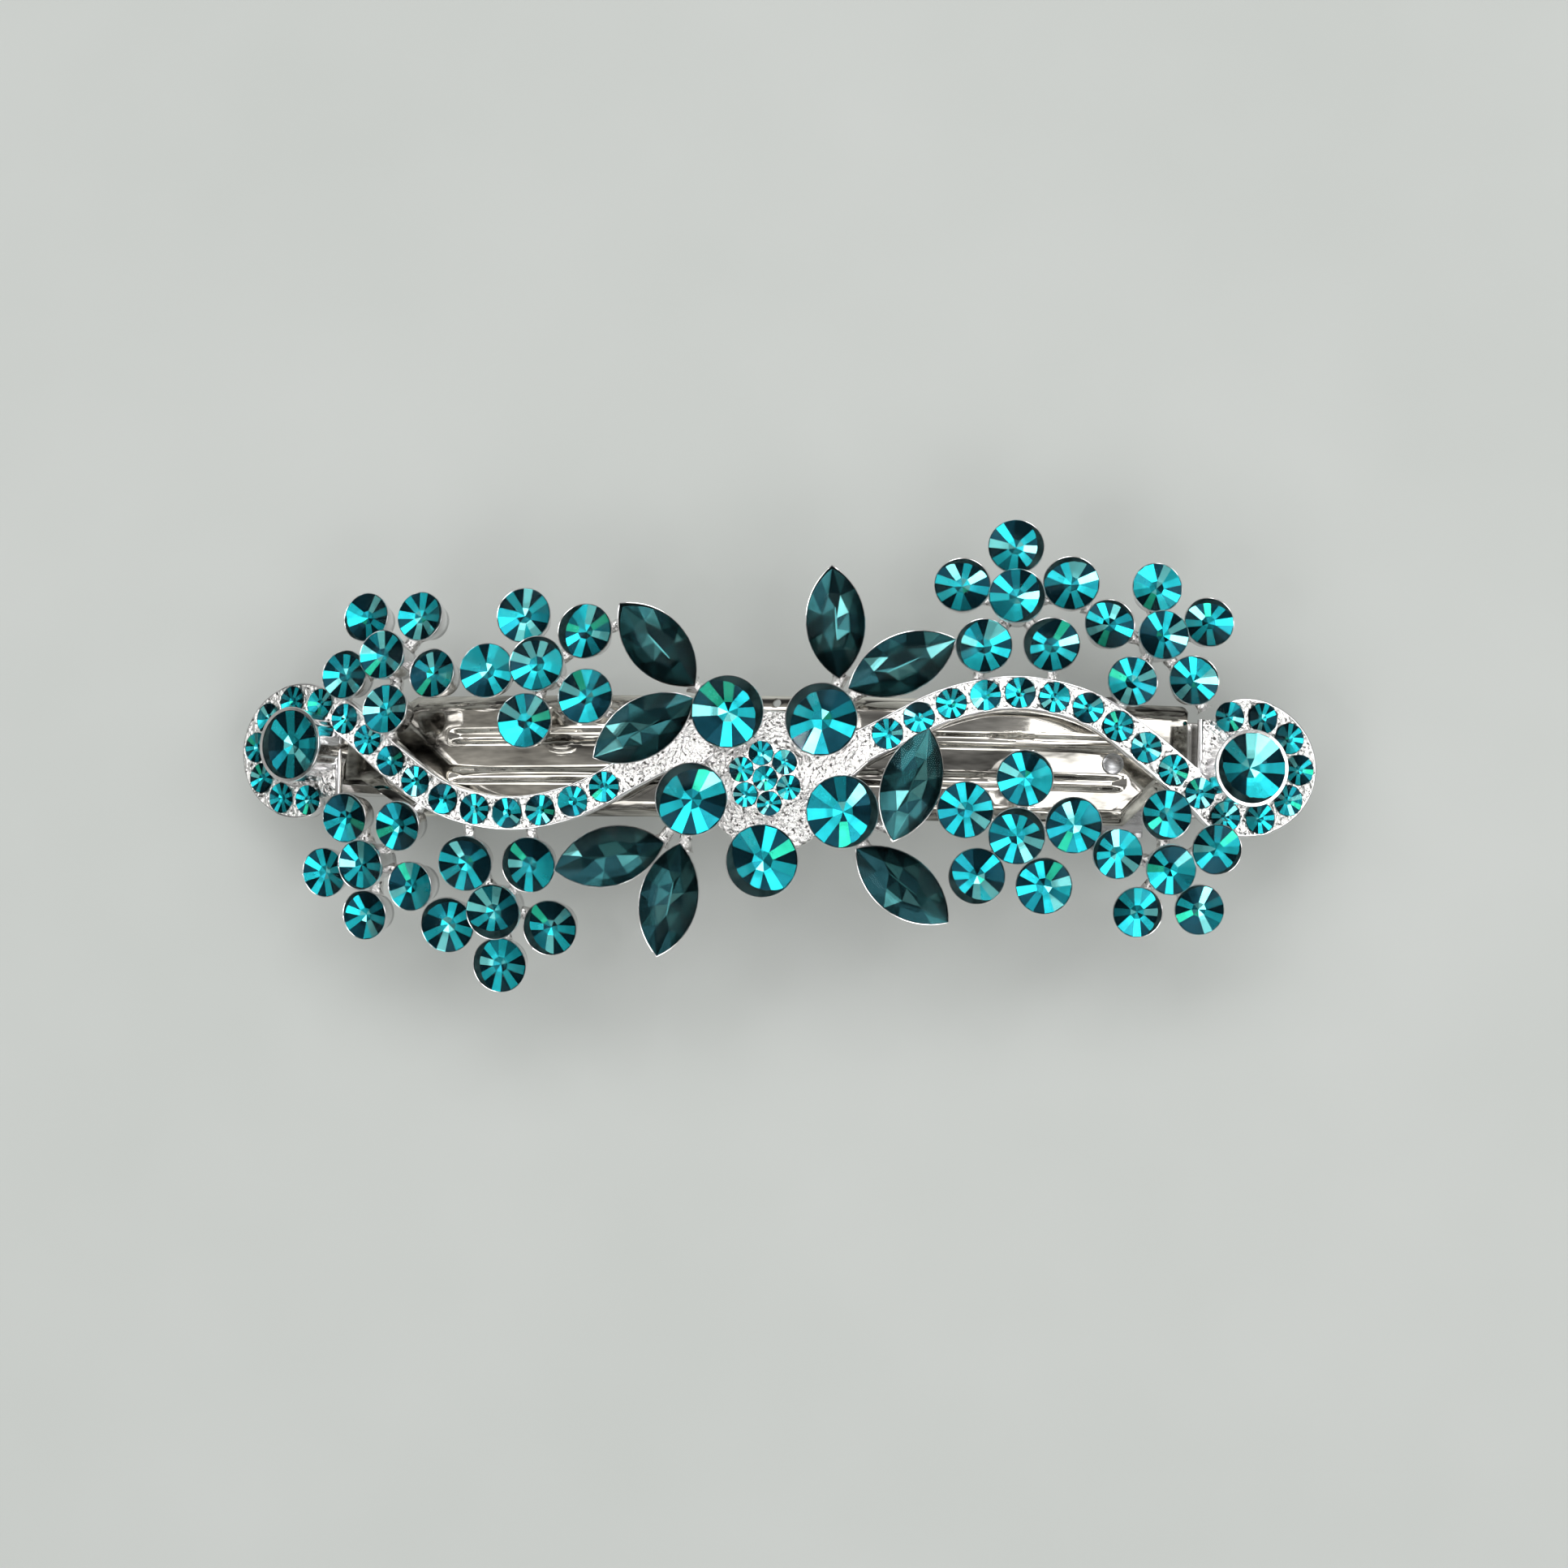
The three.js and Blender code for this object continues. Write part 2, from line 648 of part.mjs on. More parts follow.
// each piece of the casting is cut back from the room of those made before it
let taken = null;
function addCasting(name, group, make) {
  const whole = make(0);
  const piece = taken ? whole.subtract(taken) : whole;
  const largest = piece.decompose().toSorted((a, b) => b.volume() - a.volume())[0];
  const local = largest.transform(group.matrixWorld.clone().invert().elements);
  group.add(named(name, geometryOf(local), casting));
  const room = make(joinGap);
  taken = taken ? taken.add(room) : room;
}

function buildMiddle() {
  const group = standing(middle.x, middle.y, 0);
  addCasting('casting_middle', group, (grow) => middleCasting(group, grow));
  ringPlaces(largeRing).forEach((at, i) => {
    const gem = stone(circleOutline(largeStone, 16), largeStone);
    group.add(seated(`large_stone_${i + 1}`, gem, zirconGlass, at, largeHeight + seatGap));
  });
  [new THREE.Vector2(), ...ringPlaces(clusterRing)].forEach((at, i) => {
    const gem = stone(circleOutline(clusterStone, 8), clusterStone, 0);
    const place = at.clone().add(clusterShift);
    group.add(seated(`cluster_stone_${i + 1}`, gem, zirconGlass, place, clusterHeight + seatGap));
  });
  decoration.add(group);
}

function buildBand(side) {
  const band = bands[side];
  const cupCentre = new THREE.Vector2(...band.cup);
  if (band.halfTurn) cupCentre.rotateAround(halfTurnCentre, Math.PI);
  const group = standing(cupCentre.x, cupCentre.y, 0);
  const line = bandLine(band);
  addCasting(`casting_band_${side}`, group, (grow) => bandCasting(line, group, grow));
  const gem = stone(circleOutline(endStone, 16), endStone);
  group.add(seated(`end_stone_${side}`, gem, zirconGlass, { x: 0, y: 0 }, endHeight + seatGap));
  decoration.add(group);
}

function buildLeaf(leaf) {
  const group = standing(...leaf.at, leaf.turn);
  addCasting(`leaf_setting_${leaf.name}`, group, (grow) => leafCasting(leaf, group, grow));
  const gem = stone(leafOutline(leafHalf.x, leafHalf.y), leafHalf.y);
  group.add(seated(`leaf_stone_${leaf.name}`, gem, smokyGlass, { x: 0, y: 0 }, leafHeight + seatGap));
  decoration.add(group);
}

function buildFlower(flower) {
  const group = standing(...flower.at, flower.turn);
  addCasting(`flower_${flower.name}`, group, (grow) => flowerCasting(flower, group, grow));
  const gem = stone(circleOutline(flower.size.stone, cupSides), flower.size.stone);
  group.add(seated(`flower_stone_${flower.name}`, gem, zirconGlass, { x: 0, y: 0 }, raisedHeight + seatGap));
  decoration.add(group);
}

buildBarrette();
buildMiddle();
buildBand('left');
buildBand('right');
leaves.forEach(buildLeaf);
flowers.forEach(buildFlower);
decoration.position.copy(castingShift);
clip.add(decoration);

export default clip;
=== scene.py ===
"""A rhinestone hair clip: the visual model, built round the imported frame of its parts."""

import math
import random

import bmesh
import bpy
from mathutils import Matrix, Vector, noise


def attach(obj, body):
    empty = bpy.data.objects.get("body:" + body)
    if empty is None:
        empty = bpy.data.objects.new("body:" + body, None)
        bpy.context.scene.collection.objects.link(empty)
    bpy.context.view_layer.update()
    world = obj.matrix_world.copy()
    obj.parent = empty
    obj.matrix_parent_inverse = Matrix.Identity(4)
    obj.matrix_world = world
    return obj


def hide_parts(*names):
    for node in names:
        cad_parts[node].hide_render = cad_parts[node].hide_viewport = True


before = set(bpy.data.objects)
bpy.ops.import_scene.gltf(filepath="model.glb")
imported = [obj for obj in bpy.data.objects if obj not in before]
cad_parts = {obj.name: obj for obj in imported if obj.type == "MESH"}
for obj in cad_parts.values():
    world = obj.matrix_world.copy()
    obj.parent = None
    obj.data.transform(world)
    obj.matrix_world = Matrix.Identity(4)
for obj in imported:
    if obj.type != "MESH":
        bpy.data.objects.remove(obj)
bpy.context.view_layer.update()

# ---- driving dimensions, in millimetres

MM = 0.001
SEED = 11
chance = random.Random(SEED)
noise.seed_set(SEED)

MIDDLE = (0.9, -2.3)
CASTING_SHIFT = Vector((0.6, 0.1, 0.0))

# arched base plate
PLATE_TOP = 13.0
PLATE_ARCH_RADIUS = 92.0
PLATE_THICKNESS = 0.8
PLATE_HALF_WIDTH = 5.25
FLANGE_WIDTH = 1.3
FLANGE_DROP = 0.8
PLATE_START, PLATE_END = -38.2, 36.3
BARREL_TAPER = (-36.6, -31.4)
NOSE_TAPER = (31.0, 33.6)
NOSE_FRONT = -2.4
GROOVE_Y = 1.7
GROOVE_HALF_WIDTH = 0.75
GROOVE_DEPTH = 0.42
GROOVE_ENDS = (-28.4, 31.4)
BOSS_AT, BOSS_HALF, BOSS_HEIGHT = (-17.6, 0.9), (1.8, 0.7), 0.25
PINHOLE_AT, PINHOLE_RADIUS = (1.5, 4.6), 0.35

# steel edges sharper than this many degrees are rounded
EDGE_ANGLE = 50

# hinge
SIDES = ((1, "back"), (-1, "front"))
HINGE = Vector((-39.2, 0.0, 4.0))
PIN_RADIUS = 0.6
BARREL_RADIUS = 1.35
BARREL_HALF = 2.0
BARREL_SHEET = 0.6
EAR_INNER = 2.35
EAR_THICKNESS = 0.8
EAR_RADIUS = 1.5
EAR_FOOT = 0.02
EAR_PROUD = 0.03
EAR_TOE_RADIUS = 1.0
BORE_PLAY = 0.08
HEAD_RADIUS = 0.95

# clasp arm
ARM_HALF_WIDTH = 3.15
ARM_THICKNESS = 0.8
ARM_LOW = 1.5
ARM_RISE = 1.0
ARM_ARCH = (-31.0, 27.0)
ARM_HEEL = -40.6
ARM_FOOT_END = -34.6
NOSE_START, NOSE_END = 34.4, 37.6
PADDLE_START = 24.0
PADDLE_HALF_WIDTH = 4.2
WINDOW_HALF = (3.3, 2.75)

# tension bow
BOW_PIVOT = Vector((-35.1, 0.0, 2.1))
BOW_END = 25.2
BOW_ARCH = (-35.1, 29.2)
BOW_TIP_RISE = (-20.0, 25.2)
BOW_HALF_WIDTH = 2.1
BOW_THICKNESS = 0.4
BOW_TOP = 4.3
BOW_TIP_LIFT = 0.5
BOW_LUG_RADIUS = 0.45
BOW_LUG_REACH = 3.05

# catch
CATCH_X = 30.0
CATCH_SLOPE = CATCH_X / PLATE_ARCH_RADIUS
BRACKET_GAP = 0.1
BRACKET_HALF = (3.0, 2.5)
BRACKET_THICKNESS = 0.6
LEG_GAP = 0.15
LEG_HALF = (2.4, 0.25)
LEG_Y = 2.1
LEG_FOOT = 0.75
# a leg's outer side from the top down, past its tab and its barb: how far it stands out, and its height
LEG_PROFILE = [
    (0, 5.4), (0.1, 5.05), (0.4, 4.75), (3.05, 4.15), (3.45, 4.15), (3.75, 4.3), (3.75, 3.8),
    (3.35, 3.6), (0.5, 4.2), (0.15, 4.25), (0, 4.0), (0, 1.3), (0.2, 1.15),
]
RIVET_RADIUS = 0.6
RIVET_PLAY = 0.1
RIVET_FOOT = 0.9

# the domed back of the casting
BACK_HEIGHT = 13.4
LENGTH_RADIUS = 200.0
BEND_START = 26.0
BEND_RADIUS = 57.0
WIDTH_RADIUS = 57.0

# stones, in shares of their radius
CROWN_SHARE = 0.14
PAVILION_SHARE = 0.25
TABLE_SHARE = 0.44
GIRDLE_SHARE = 0.03
HUB_SHARE, HUB_DEPTH = 0.3, 0.15
# a pointed stone from its keel up: its length and width as shares, and its height in half widths
LEAF_RINGS = [
    (0.4, 0.03, -0.3), (0.62, 0.48, -0.2), (1, 1, -GIRDLE_SHARE), (1, 1, GIRDLE_SHARE), (0.62, 0.52, 0.2),
]
# degrees: from the middle of a half facet to its corner on the girdle, and the most that a stone is tipped
GIRDLE_SPREAD, TIP_ANGLE = 12.5, 3
LARGE_STONE = 3.05
END_STONE = 3.0
CLUSTER_STONE = 1.05
BAND_STONE = 1.3
LEAF_HALF = (5.0, 2.5)
# shares of the bright, middle, dark, glinting and green facets; bright, middle and dark are the foil
# painted lit and shaded, glinting a painted highlight
HALF_TONES = (0.08, 0.14, 0.76, 0.02, 0.0)
MAIN_TONES = (0.56, 0.12, 0.12, 0.15, 0.05)
HUB_TONES = (0.42, 0.28, 0.12, 0.16, 0.02)
LEAF_TONES = (0.12, 0.32, 0.5, 0.06)

# settings; a stone's girdle stands above its setting's height by the gap
SEAT_GAP = 0.3
SEAT_DEPTH = 0.6
PETAL_HEIGHT = 2.2
RAISED_HEIGHT = 3.6
LARGE_HEIGHT = 2.8
END_HEIGHT = 4.0
LEAF_HEIGHT = 2.6
CLUSTER_HEIGHT = 2.0
WEB_HEIGHT = 1.3
WEB_RADIUS = 6.3
PEDESTAL_RADIUS = 3.15
CLUSTER_SHIFT = Vector((-0.45, 0.2))
LINK_HEIGHT = 0.75
LINK_RADIUS = 0.5
LINK_FLARE = 1.5
# links start this share of a stone's radius from its middle
LINK_START = 0.66
LARGE_LINK_START = 0.62
RIM = 0.09
# feet of the cups, in shares of their stones' radius
PETAL_FOOT, RAISED_FOOT, LARGE_FOOT, END_FOOT = 0.72, 0.66, 0.8, 1.04
END_RIM = 0.3
FLUTES, FLUTE_DEPTH = 24, 0.08

# wavy bands, each with an end loop and a raised cup; the right one is turned half round
BAND_HALF_WIDTH = 1.45
BAND_THICKNESS = 1.6
BAND_FLARE, BAND_FLARE_SPAN = 0.45, (5.5, 2.5)
BAND_TIP_START, BAND_TIP_LENGTH = 0.25, 1.4
BAND_STEPS = 200
# steps: where the first stone sits along the band, the step to the next, and how fast the step grows
BANDS = {
    "left": {
        "loop": (-41.5, 0.2), "cup": (-40.6, 0.5), "half_turn": False,
        "steps": (0.6, 2.71, 0.0098), "count": 17,
    },
    "right": {
        "loop": (-40.7, 0.5), "cup": (-40.4, 0.7), "half_turn": True,
        "steps": (0.2, 2.73, 0.0078), "count": 18,
    },
}
LOOP_RADIUS = 4.4
LOOP_ANGLES = (-70, -295)
LOOP_SPANS = 9
WAVE_POINTS = [
    (-37, 2.7), (-32.4, -1.1), (-27.8, -4.1), (-22, -5.2),
    (-16.2, -4.1), (-11, -1.5), (-6.3, 0.8), (-4.2, 1.0),
]
HALF_TURN_CENTRE = (-0.2, 0.1)
# the plate that fills a loop: shares of the way out from the cup, and heights
END_WEB_ARC = (60, 290, 40)
END_WEB_RINGS = [
    (0.3, 1.15), (0.55, 1.15), (0.75, 1.1), (0.88, 1.05),
    (0.96, 1.0), (1.0, 0.85), (1.0, 0.35), (0.94, 0.2),
]
# the ridge across the loop's mouth, with its ends measured from the loop's centre
MOUTH = [(3.5, -3.9), (3.5, 2.2)]
MOUTH_SPANS = 8
RIDGE_HALF = (0.24, 0.3)
RIDGE_LIFT = 1.0

# flowers: petal stone's radius, radius of the ring of petals
PETALS = 5
INNER_FLOWER = (2.35, 4.9)
OUTER_FLOWER = (2.1, 4.55)
# name, sizes, place, turn of the first petal, and links from a petal to a point beside it
FLOWERS = [
    ("outer_left_back", OUTER_FLOWER, (-32.8, 7.8), 54, [(2, -38, 3.6), (3, -33.2, 0.4)]),
    ("inner_left_back", INNER_FLOWER, (-19.3, 7), 40, [(0, -12, 11.4), (4, -12.4, 2.6), (2, -27, 6.4)]),
    ("outer_left_front", OUTER_FLOWER, (-34.3, -9.4), 46, [(1, -38.6, -3.6), (0, -29.4, -3.2)]),
    ("inner_left_front", INNER_FLOWER, (-22.8, -13.1), 53,
     [(1, -26, -5), (0, -20.4, -5.4), (2, -29, -12.4)]),
    ("inner_right_back", INNER_FLOWER, (21.3, 12.9), 20, [(3, 18, 5.4), (4, 24.6, 5.4), (3, 15.8, 8.8)]),
    ("outer_right_back", OUTER_FLOWER, (33.1, 10), 21, [(3, 29.8, 3.2), (4, 37.6, 3.8), (2, 26.6, 13.6)]),
    ("inner_right_front", INNER_FLOWER, (21.8, -6.4), 11, [(2, 14.4, -4.4)]),
    ("outer_right_front", OUTER_FLOWER, (34, -8.8), 22, [(1, 35, -2.2), (0, 39.2, -4), (2, 27.4, -6.8)]),
]
LEAVES = [
    ("left_1", (-9.1, 8.8), -46), ("left_2", (-10, 1.9), 31), ("left_3", (-12.8, -8.6), 14),
    ("left_4", (-7.7, -12.1), 77), ("right_1", (6.1, 10.8), 96), ("right_2", (11.9, 7.4), 26),
    ("right_3", (12.9, -2.5), 73), ("right_4", (12.2, -10.6), -38),
]
# rings of stones in the middle: count, radius and turn
LARGE_RING = (5, 6.9, 50)
CLUSTER_RING = (6, 2.2, 40)

# camera
CAMERA_AT = Vector((76.3, -32.6, 488.3))
CAMERA_AIM = Vector((2.31, -2.39, 13.0))
CAMERA_ROLL = 1.3
CAMERA_LENS = 128.8

# lamps: azimuth from +X, elevation, distance and size in metres, and radiance
LAMPS = {
    "softbox_back": (92, 56, 0.75, (0.56, 0.34), 3.0),
    "softbox_back_left": (146, 50, 0.75, (0.24, 0.40), 2.7),
    "softbox_right": (12, 50, 0.75, (0.34, 0.44), 3.0),
    "softbox_front_left": (226, 50, 0.75, (0.34, 0.34), 2.6),
    "softbox_front_right": (305, 48, 0.75, (0.36, 0.30), 2.8),
    "glint_back": (60, 48, 0.9, (0.03, 0.03), 60),
    "glint_left": (205, 60, 0.9, (0.03, 0.03), 60),
    "glint_right": (340, 66, 0.9, (0.03, 0.03), 60),
}
FLOOR_HALF, FLOOR_SPANS = 1500.0, 12

# ---- materials


def new_material(name):
    """A material, and its empty node tree."""
    made = bpy.data.materials.new(name)
    made.use_nodes = True
    made.node_tree.nodes.clear()
    return made, made.node_tree


def add(tree, kind, inputs=(), **settings):
    """A node with some of its settings and sockets filled in. A socket takes a value or another socket."""
    node = tree.nodes.new(kind)
    for key, value in settings.items():
        setattr(node, key, value)
    for key, value in dict(inputs).items():
        if isinstance(value, bpy.types.NodeSocket):
            tree.links.new(value, node.inputs[key])
        else:
            node.inputs[key].default_value = value
    return node


def grain(tree, size, stretch=(1, 1, 1), detail=4.0, rough=0.6):
    """Noise with features about this many millimetres across, divided along each axis by its stretch."""
    place = add(tree, "ShaderNodeTexCoord").outputs["Object"]
    scaled = add(tree, "ShaderNodeMapping", {"Vector": place, "Scale": stretch}).outputs["Vector"]
    inputs = {"Vector": scaled, "Scale": 1 / (size * MM), "Detail": detail, "Roughness": rough}
    return add(tree, "ShaderNodeTexNoise", inputs).outputs["Fac"]


def ramp_colour(tree, factor, stops):
    """A colour that runs through these stops, each a factor and a colour."""
    node = add(tree, "ShaderNodeValToRGB", {"Fac": factor})
    points = node.color_ramp.elements
    while len(points) < len(stops):
        points.new(0.5)
    for point, (at, colour) in zip(points, stops):
        point.position = at
        point.color = (*colour, 1)
    return node.outputs["Color"]


def spread_to(tree, factor, low, high):
    inputs = {"Value": factor, "From Min": 0.3, "From Max": 0.7, "To Min": low, "To Max": high}
    return add(tree, "ShaderNodeMapRange", inputs).outputs["Result"]


def bumped(tree, height, strength, depth):
    inputs = {"Height": height, "Strength": strength, "Distance": depth * MM}
    return add(tree, "ShaderNodeBump", inputs).outputs["Normal"]


def finish_surface(tree, inputs):
    shader = add(tree, "ShaderNodeBsdfPrincipled", inputs)
    add(tree, "ShaderNodeOutputMaterial", {"Surface": shader.outputs["BSDF"]})


def metal(name, tones, rough, marks, bump, stretch=(1, 1, 1)):
    """Metal with two tones, a range of roughness, and marks of a given size and depth."""
    made, tree = new_material(name)
    cloud = grain(tree, marks * 6, stretch)
    fine = grain(tree, marks, stretch, detail=5.0)
    finish_surface(tree, {
        "Base Color": ramp_colour(tree, cloud, [(0.35, tones[0]), (0.65, tones[1])]),
        "Metallic": 1.0,
        "Roughness": spread_to(tree, fine, *rough),
        "Normal": bumped(tree, fine, *bump),
    })
    return made


def sandblasted(name):
    """Bright cast metal with pits painted near black as shade, and crystals that glint."""
    made, tree = new_material(name)
    pits = grain(tree, 0.27, detail=3.0, rough=0.65)
    place = add(tree, "ShaderNodeTexCoord").outputs["Object"]
    cells = {"Vector": place, "Scale": 1 / (0.42 * MM)}
    crystals = add(tree, "ShaderNodeTexVoronoi", cells).outputs["Distance"]
    height = add(tree, "ShaderNodeMath", {0: pits, 1: crystals}, operation="ADD").outputs["Value"]
    # painted shade: the near-black tone falls in the pits, where the bump sinks
    dark, bright = (0.06, 0.055, 0.05), (0.98, 0.97, 0.96)
    finish_surface(tree, {
        "Base Color": ramp_colour(tree, pits, [(0.37, dark), (0.45, bright)]),
        "Metallic": 1.0,
        "Roughness": spread_to(tree, pits, 0.3, 0.13),
        "Normal": bumped(tree, height, 0.9, 0.14),
    })
    return made


def crystal(name, tint, deep):
    """Clear glass with a light tint, a little uneven in tone."""
    made, tree = new_material(name)
    cloud = grain(tree, 2.5, detail=2.0)
    finish_surface(tree, {
        "Base Color": ramp_colour(tree, cloud, [(0.3, deep), (0.7, tint)]),
        "Roughness": spread_to(tree, cloud, 0.0, 0.008),
        "IOR": 1.2,
        "Specular Tint": (0.4, 0.5, 0.5, 1),
        "Transmission Weight": 1.0,
    })
    return made


def foil(name, tone, rough):
    """The mirror backing of a facet, with faint streaks where it was brushed on."""
    made, tree = new_material(name)
    cloud = grain(tree, 1.4, detail=3.0)
    pale = tuple(min(1.0, 1.25 * part + 0.004) for part in tone)
    finish_surface(tree, {
        "Base Color": ramp_colour(tree, cloud, [(0.3, tone), (0.75, pale)]),
        "Metallic": 1.0,
        "Roughness": spread_to(tree, cloud, rough, rough * 0.85),
    })
    return made


def floor_material():
    """A pale table with a faint glow that keeps the shadows open."""
    made, tree = new_material("pale_floor")
    cloud = grain(tree, 40.0, detail=3.0)
    deep, pale = (0.372, 0.39, 0.376), (0.397, 0.412, 0.401)
    finish_surface(tree, {
        "Base Color": ramp_colour(tree, cloud, [(0.3, deep), (0.7, pale)]),
        "Roughness": spread_to(tree, cloud, 0.75, 0.65),
        "Emission Color": (0.95, 1.0, 0.96, 1),
        "Emission Strength": 0.145,
    })
    return made


BRUSHED = (0.1, 1, 1)
BRIGHT = metal("bright_casting", ((0.74, 0.73, 0.73), (0.93, 0.93, 0.94)), (0.1, 0.26), 0.35, (0.25, 0.03))
ROUGH = sandblasted("sandblasted_casting")
# painted shade: near-black metal in the seats under the stones, in the cups and the drilled holes alike
SEAT_SHADE = metal("seat_shadow", ((0.012, 0.02, 0.022), (0.05, 0.07, 0.072)), (0.5, 0.7), 0.2, (0.3, 0.03))
CASTING = (BRIGHT, SEAT_SHADE, ROUGH)
# the plate's brushed streaks run from near black to bright: a real grain, with painted shade and dark
# reflection in its near-black streaks
CHROME = metal(
    "plate_chrome", ((0.04, 0.038, 0.034), (0.86, 0.83, 0.76)), (0.03, 0.09), 0.5, (0.05, 0.01), BRUSHED)
ARM_STEEL = metal(
    "arm_steel", ((0.62, 0.60, 0.58), (0.78, 0.76, 0.74)), (0.12, 0.28), 0.4, (0.12, 0.015), BRUSHED)
SPRING = metal(
    "spring_steel", ((0.42, 0.43, 0.44), (0.6, 0.6, 0.61)), (0.2, 0.38), 0.3, (0.2, 0.02), BRUSHED)
ZIRCON = crystal("zircon_glass", (0.64, 0.96, 0.97), (0.56, 0.93, 0.95))
# painted light and shade: one foil in lit and shaded copies, bright, middle and dark, a painted highlight
# in glint, and green a greener copy of bright
ZIRCON_FOILS_LIT_AND_SHADED = [foil(f"zircon_foil_{name}", tone, rough) for name, tone, rough in (
    ("bright", (0.03, 0.53, 0.60), 0.28),
    ("middle", (0.014, 0.22, 0.27), 0.28),
    ("dark", (0.004, 0.026, 0.038), 0.22),
    ("glint", (0.36, 0.86, 0.86), 0.2),
    ("green", (0.04, 0.52, 0.33), 0.28),
)]
SMOKY = crystal("smoky_glass", (0.74, 0.90, 0.91), (0.62, 0.84, 0.86))
# painted light and shade: the smoky foil in lit and shaded copies, pale, middle and dark, and a painted
# highlight in glint
SMOKY_FOILS_LIT_AND_SHADED = [foil(f"smoky_foil_{name}", tone, rough) for name, tone, rough in (
    ("pale", (0.06, 0.18, 0.185), 0.2),
    ("middle", (0.022, 0.08, 0.087), 0.2),
    ("dark", (0.008, 0.03, 0.036), 0.2),
    ("glint", (0.14, 0.33, 0.33), 0.14),
)]

# ---- shapes


class Shell:
    """Points and faces in millimetres, with a material number for each face."""

    def __init__(self):
        self.points = []
        self.faces = []
        self.slots = []

    def add(self, points, faces, slot=0, place=None):
        first = len(self.points)
        self.points += [place @ Vector(p) if place else Vector(p) for p in points]
        self.faces += [[first + i for i in face] for face in faces]
        self.slots += slot if isinstance(slot, list) else [slot] * len(faces)
        return self


def polar(radius, degrees):
    return Vector((radius * math.cos(math.radians(degrees)), radius * math.sin(math.radians(degrees))))


def mix(a, b, share):
    return a + (b - a) * share


def spread(start, stop, count):
    return [mix(start, stop, i / count) for i in range(count + 1)]


def ramp(x, span):
    return min(1.0, max(0.0, (x - span[0]) / (span[1] - span[0])))


def smooth_step(x, start, stop):
    share = ramp(x, (start, stop))
    return share * share * (3 - 2 * share)


def ring_places(count, radius, turn=0.0):
    return [polar(radius, turn + 360 * i / count) for i in range(count)]


def leaf_outline(half_length, half_width, steps=9):
    """Two arcs that meet in a point at each end."""
    bow = (half_length ** 2 + half_width ** 2) / (2 * half_width)
    reach = math.asin(half_length / bow)
    drop = bow - half_width
    upper = [(bow * math.sin(a), bow * math.cos(a) - drop) for a in spread(reach, -reach, steps)]
    return [Vector(p) for p in upper + [(-x, -y) for x, y in upper[1:-1]]]


def loft(rings, capped=True):
    """A skin through rings of equally many points, closed by a face at each end."""
    count = len(rings[0])
    faces = []
    for r in range(len(rings) - 1):
        for i in range(count):
            a, b = r * count + i, r * count + (i + 1) % count
            faces.append((a, b, b + count, a + count))
    if capped:
        last = (len(rings) - 1) * count
        faces.append(tuple(reversed(range(count))))
        faces.append(tuple(range(last, last + count)))
    return [p for ring in rings for p in ring], faces


def level(outline, scale, z):
    """The outline, scaled and laid at a height."""
    return [(p[0] * scale, p[1] * scale, z) for p in outline]


def revolve(profile, sides, radius_at=None):
    """A turned body. The profile is (radius, height) from the axis round to the axis again."""
    rings = []
    for r, z in profile[1:-1]:
        angles = [360 * i / sides for i in range(sides)]
        rings.append([(*polar(radius_at(r, z, a) if radius_at else r, a), z) for a in angles])
    points, faces = loft(rings, capped=False)
    low, high = len(points), len(points) + 1
    points += [(0, 0, profile[0][1]), (0, 0, profile[-1][1])]
    last = (len(rings) - 1) * sides
    for i in range(sides):
        after = (i + 1) % sides
        faces.append((low, after, i))
        faces.append((high, last + i, last + after))
    return points, faces


def stations(stops, counts):
    """Positions from each stop to the next, in these numbers of equal steps."""
    found = [stops[0]]
    for start, stop, count in zip(stops, stops[1:], counts):
        found += spread(start, stop, count)[1:]
    return found


def object_of(name, shell, materials, sharp=35.0, place=None):
    """A shell as an object, smooth except along edges sharper than this angle, or flat all over at 0."""
    mesh = bpy.data.meshes.new(name)
    mesh.from_pydata([Vector(p) * MM for p in shell.points], [], shell.faces)
    for one in materials:
        mesh.materials.append(one)
    mesh.polygons.foreach_set("material_index", shell.slots)
    mesh.polygons.foreach_set("use_smooth", [sharp > 0] * len(mesh.polygons))
    work = bmesh.new()
    work.from_mesh(mesh)
    bmesh.ops.recalc_face_normals(work, faces=work.faces)
    work.to_mesh(mesh)
    work.free()
    if sharp > 0:
        mesh.set_sharp_from_angle(angle=math.radians(sharp))
    made = bpy.data.objects.new(name, mesh)
    bpy.context.scene.collection.objects.link(made)
    if place is not None:
        moved = place.copy()
        moved.translation *= MM
        made.matrix_world = moved
    return made


def apply_modifiers(made):
    graph = bpy.context.evaluated_depsgraph_get()
    mesh = bpy.data.meshes.new_from_object(made.evaluated_get(graph), depsgraph=graph)
    made.modifiers.clear()
    made.data = mesh


def cut(made, shell):
    """Takes the shell's closed bodies away from the object."""
    tool = object_of("cutter", shell, made.data.materials[:])
    step = made.modifiers.new("cut", "BOOLEAN")
    step.operation = "DIFFERENCE"
    step.solver = "EXACT"
    step.object = tool
    apply_modifiers(made)
    bpy.data.objects.remove(tool)


def soften(made, width):
    """Rounds the object's sharp edges a little, so that they catch the light."""
    angle = math.radians(EDGE_ANGLE)
    step = made.modifiers.new("edges", "BEVEL")
    step.width = width * MM
    step.segments = 2
    step.limit_method = "ANGLE"
    step.angle_limit = angle
    step.use_clamp_overlap = True
    apply_modifiers(made)
    made.data.polygons.foreach_set("use_smooth", [True] * len(made.data.polygons))
    made.data.set_sharp_from_angle(angle=angle)
    weigh = made.modifiers.new("normals", "WEIGHTED_NORMAL")
    weigh.keep_sharp = True


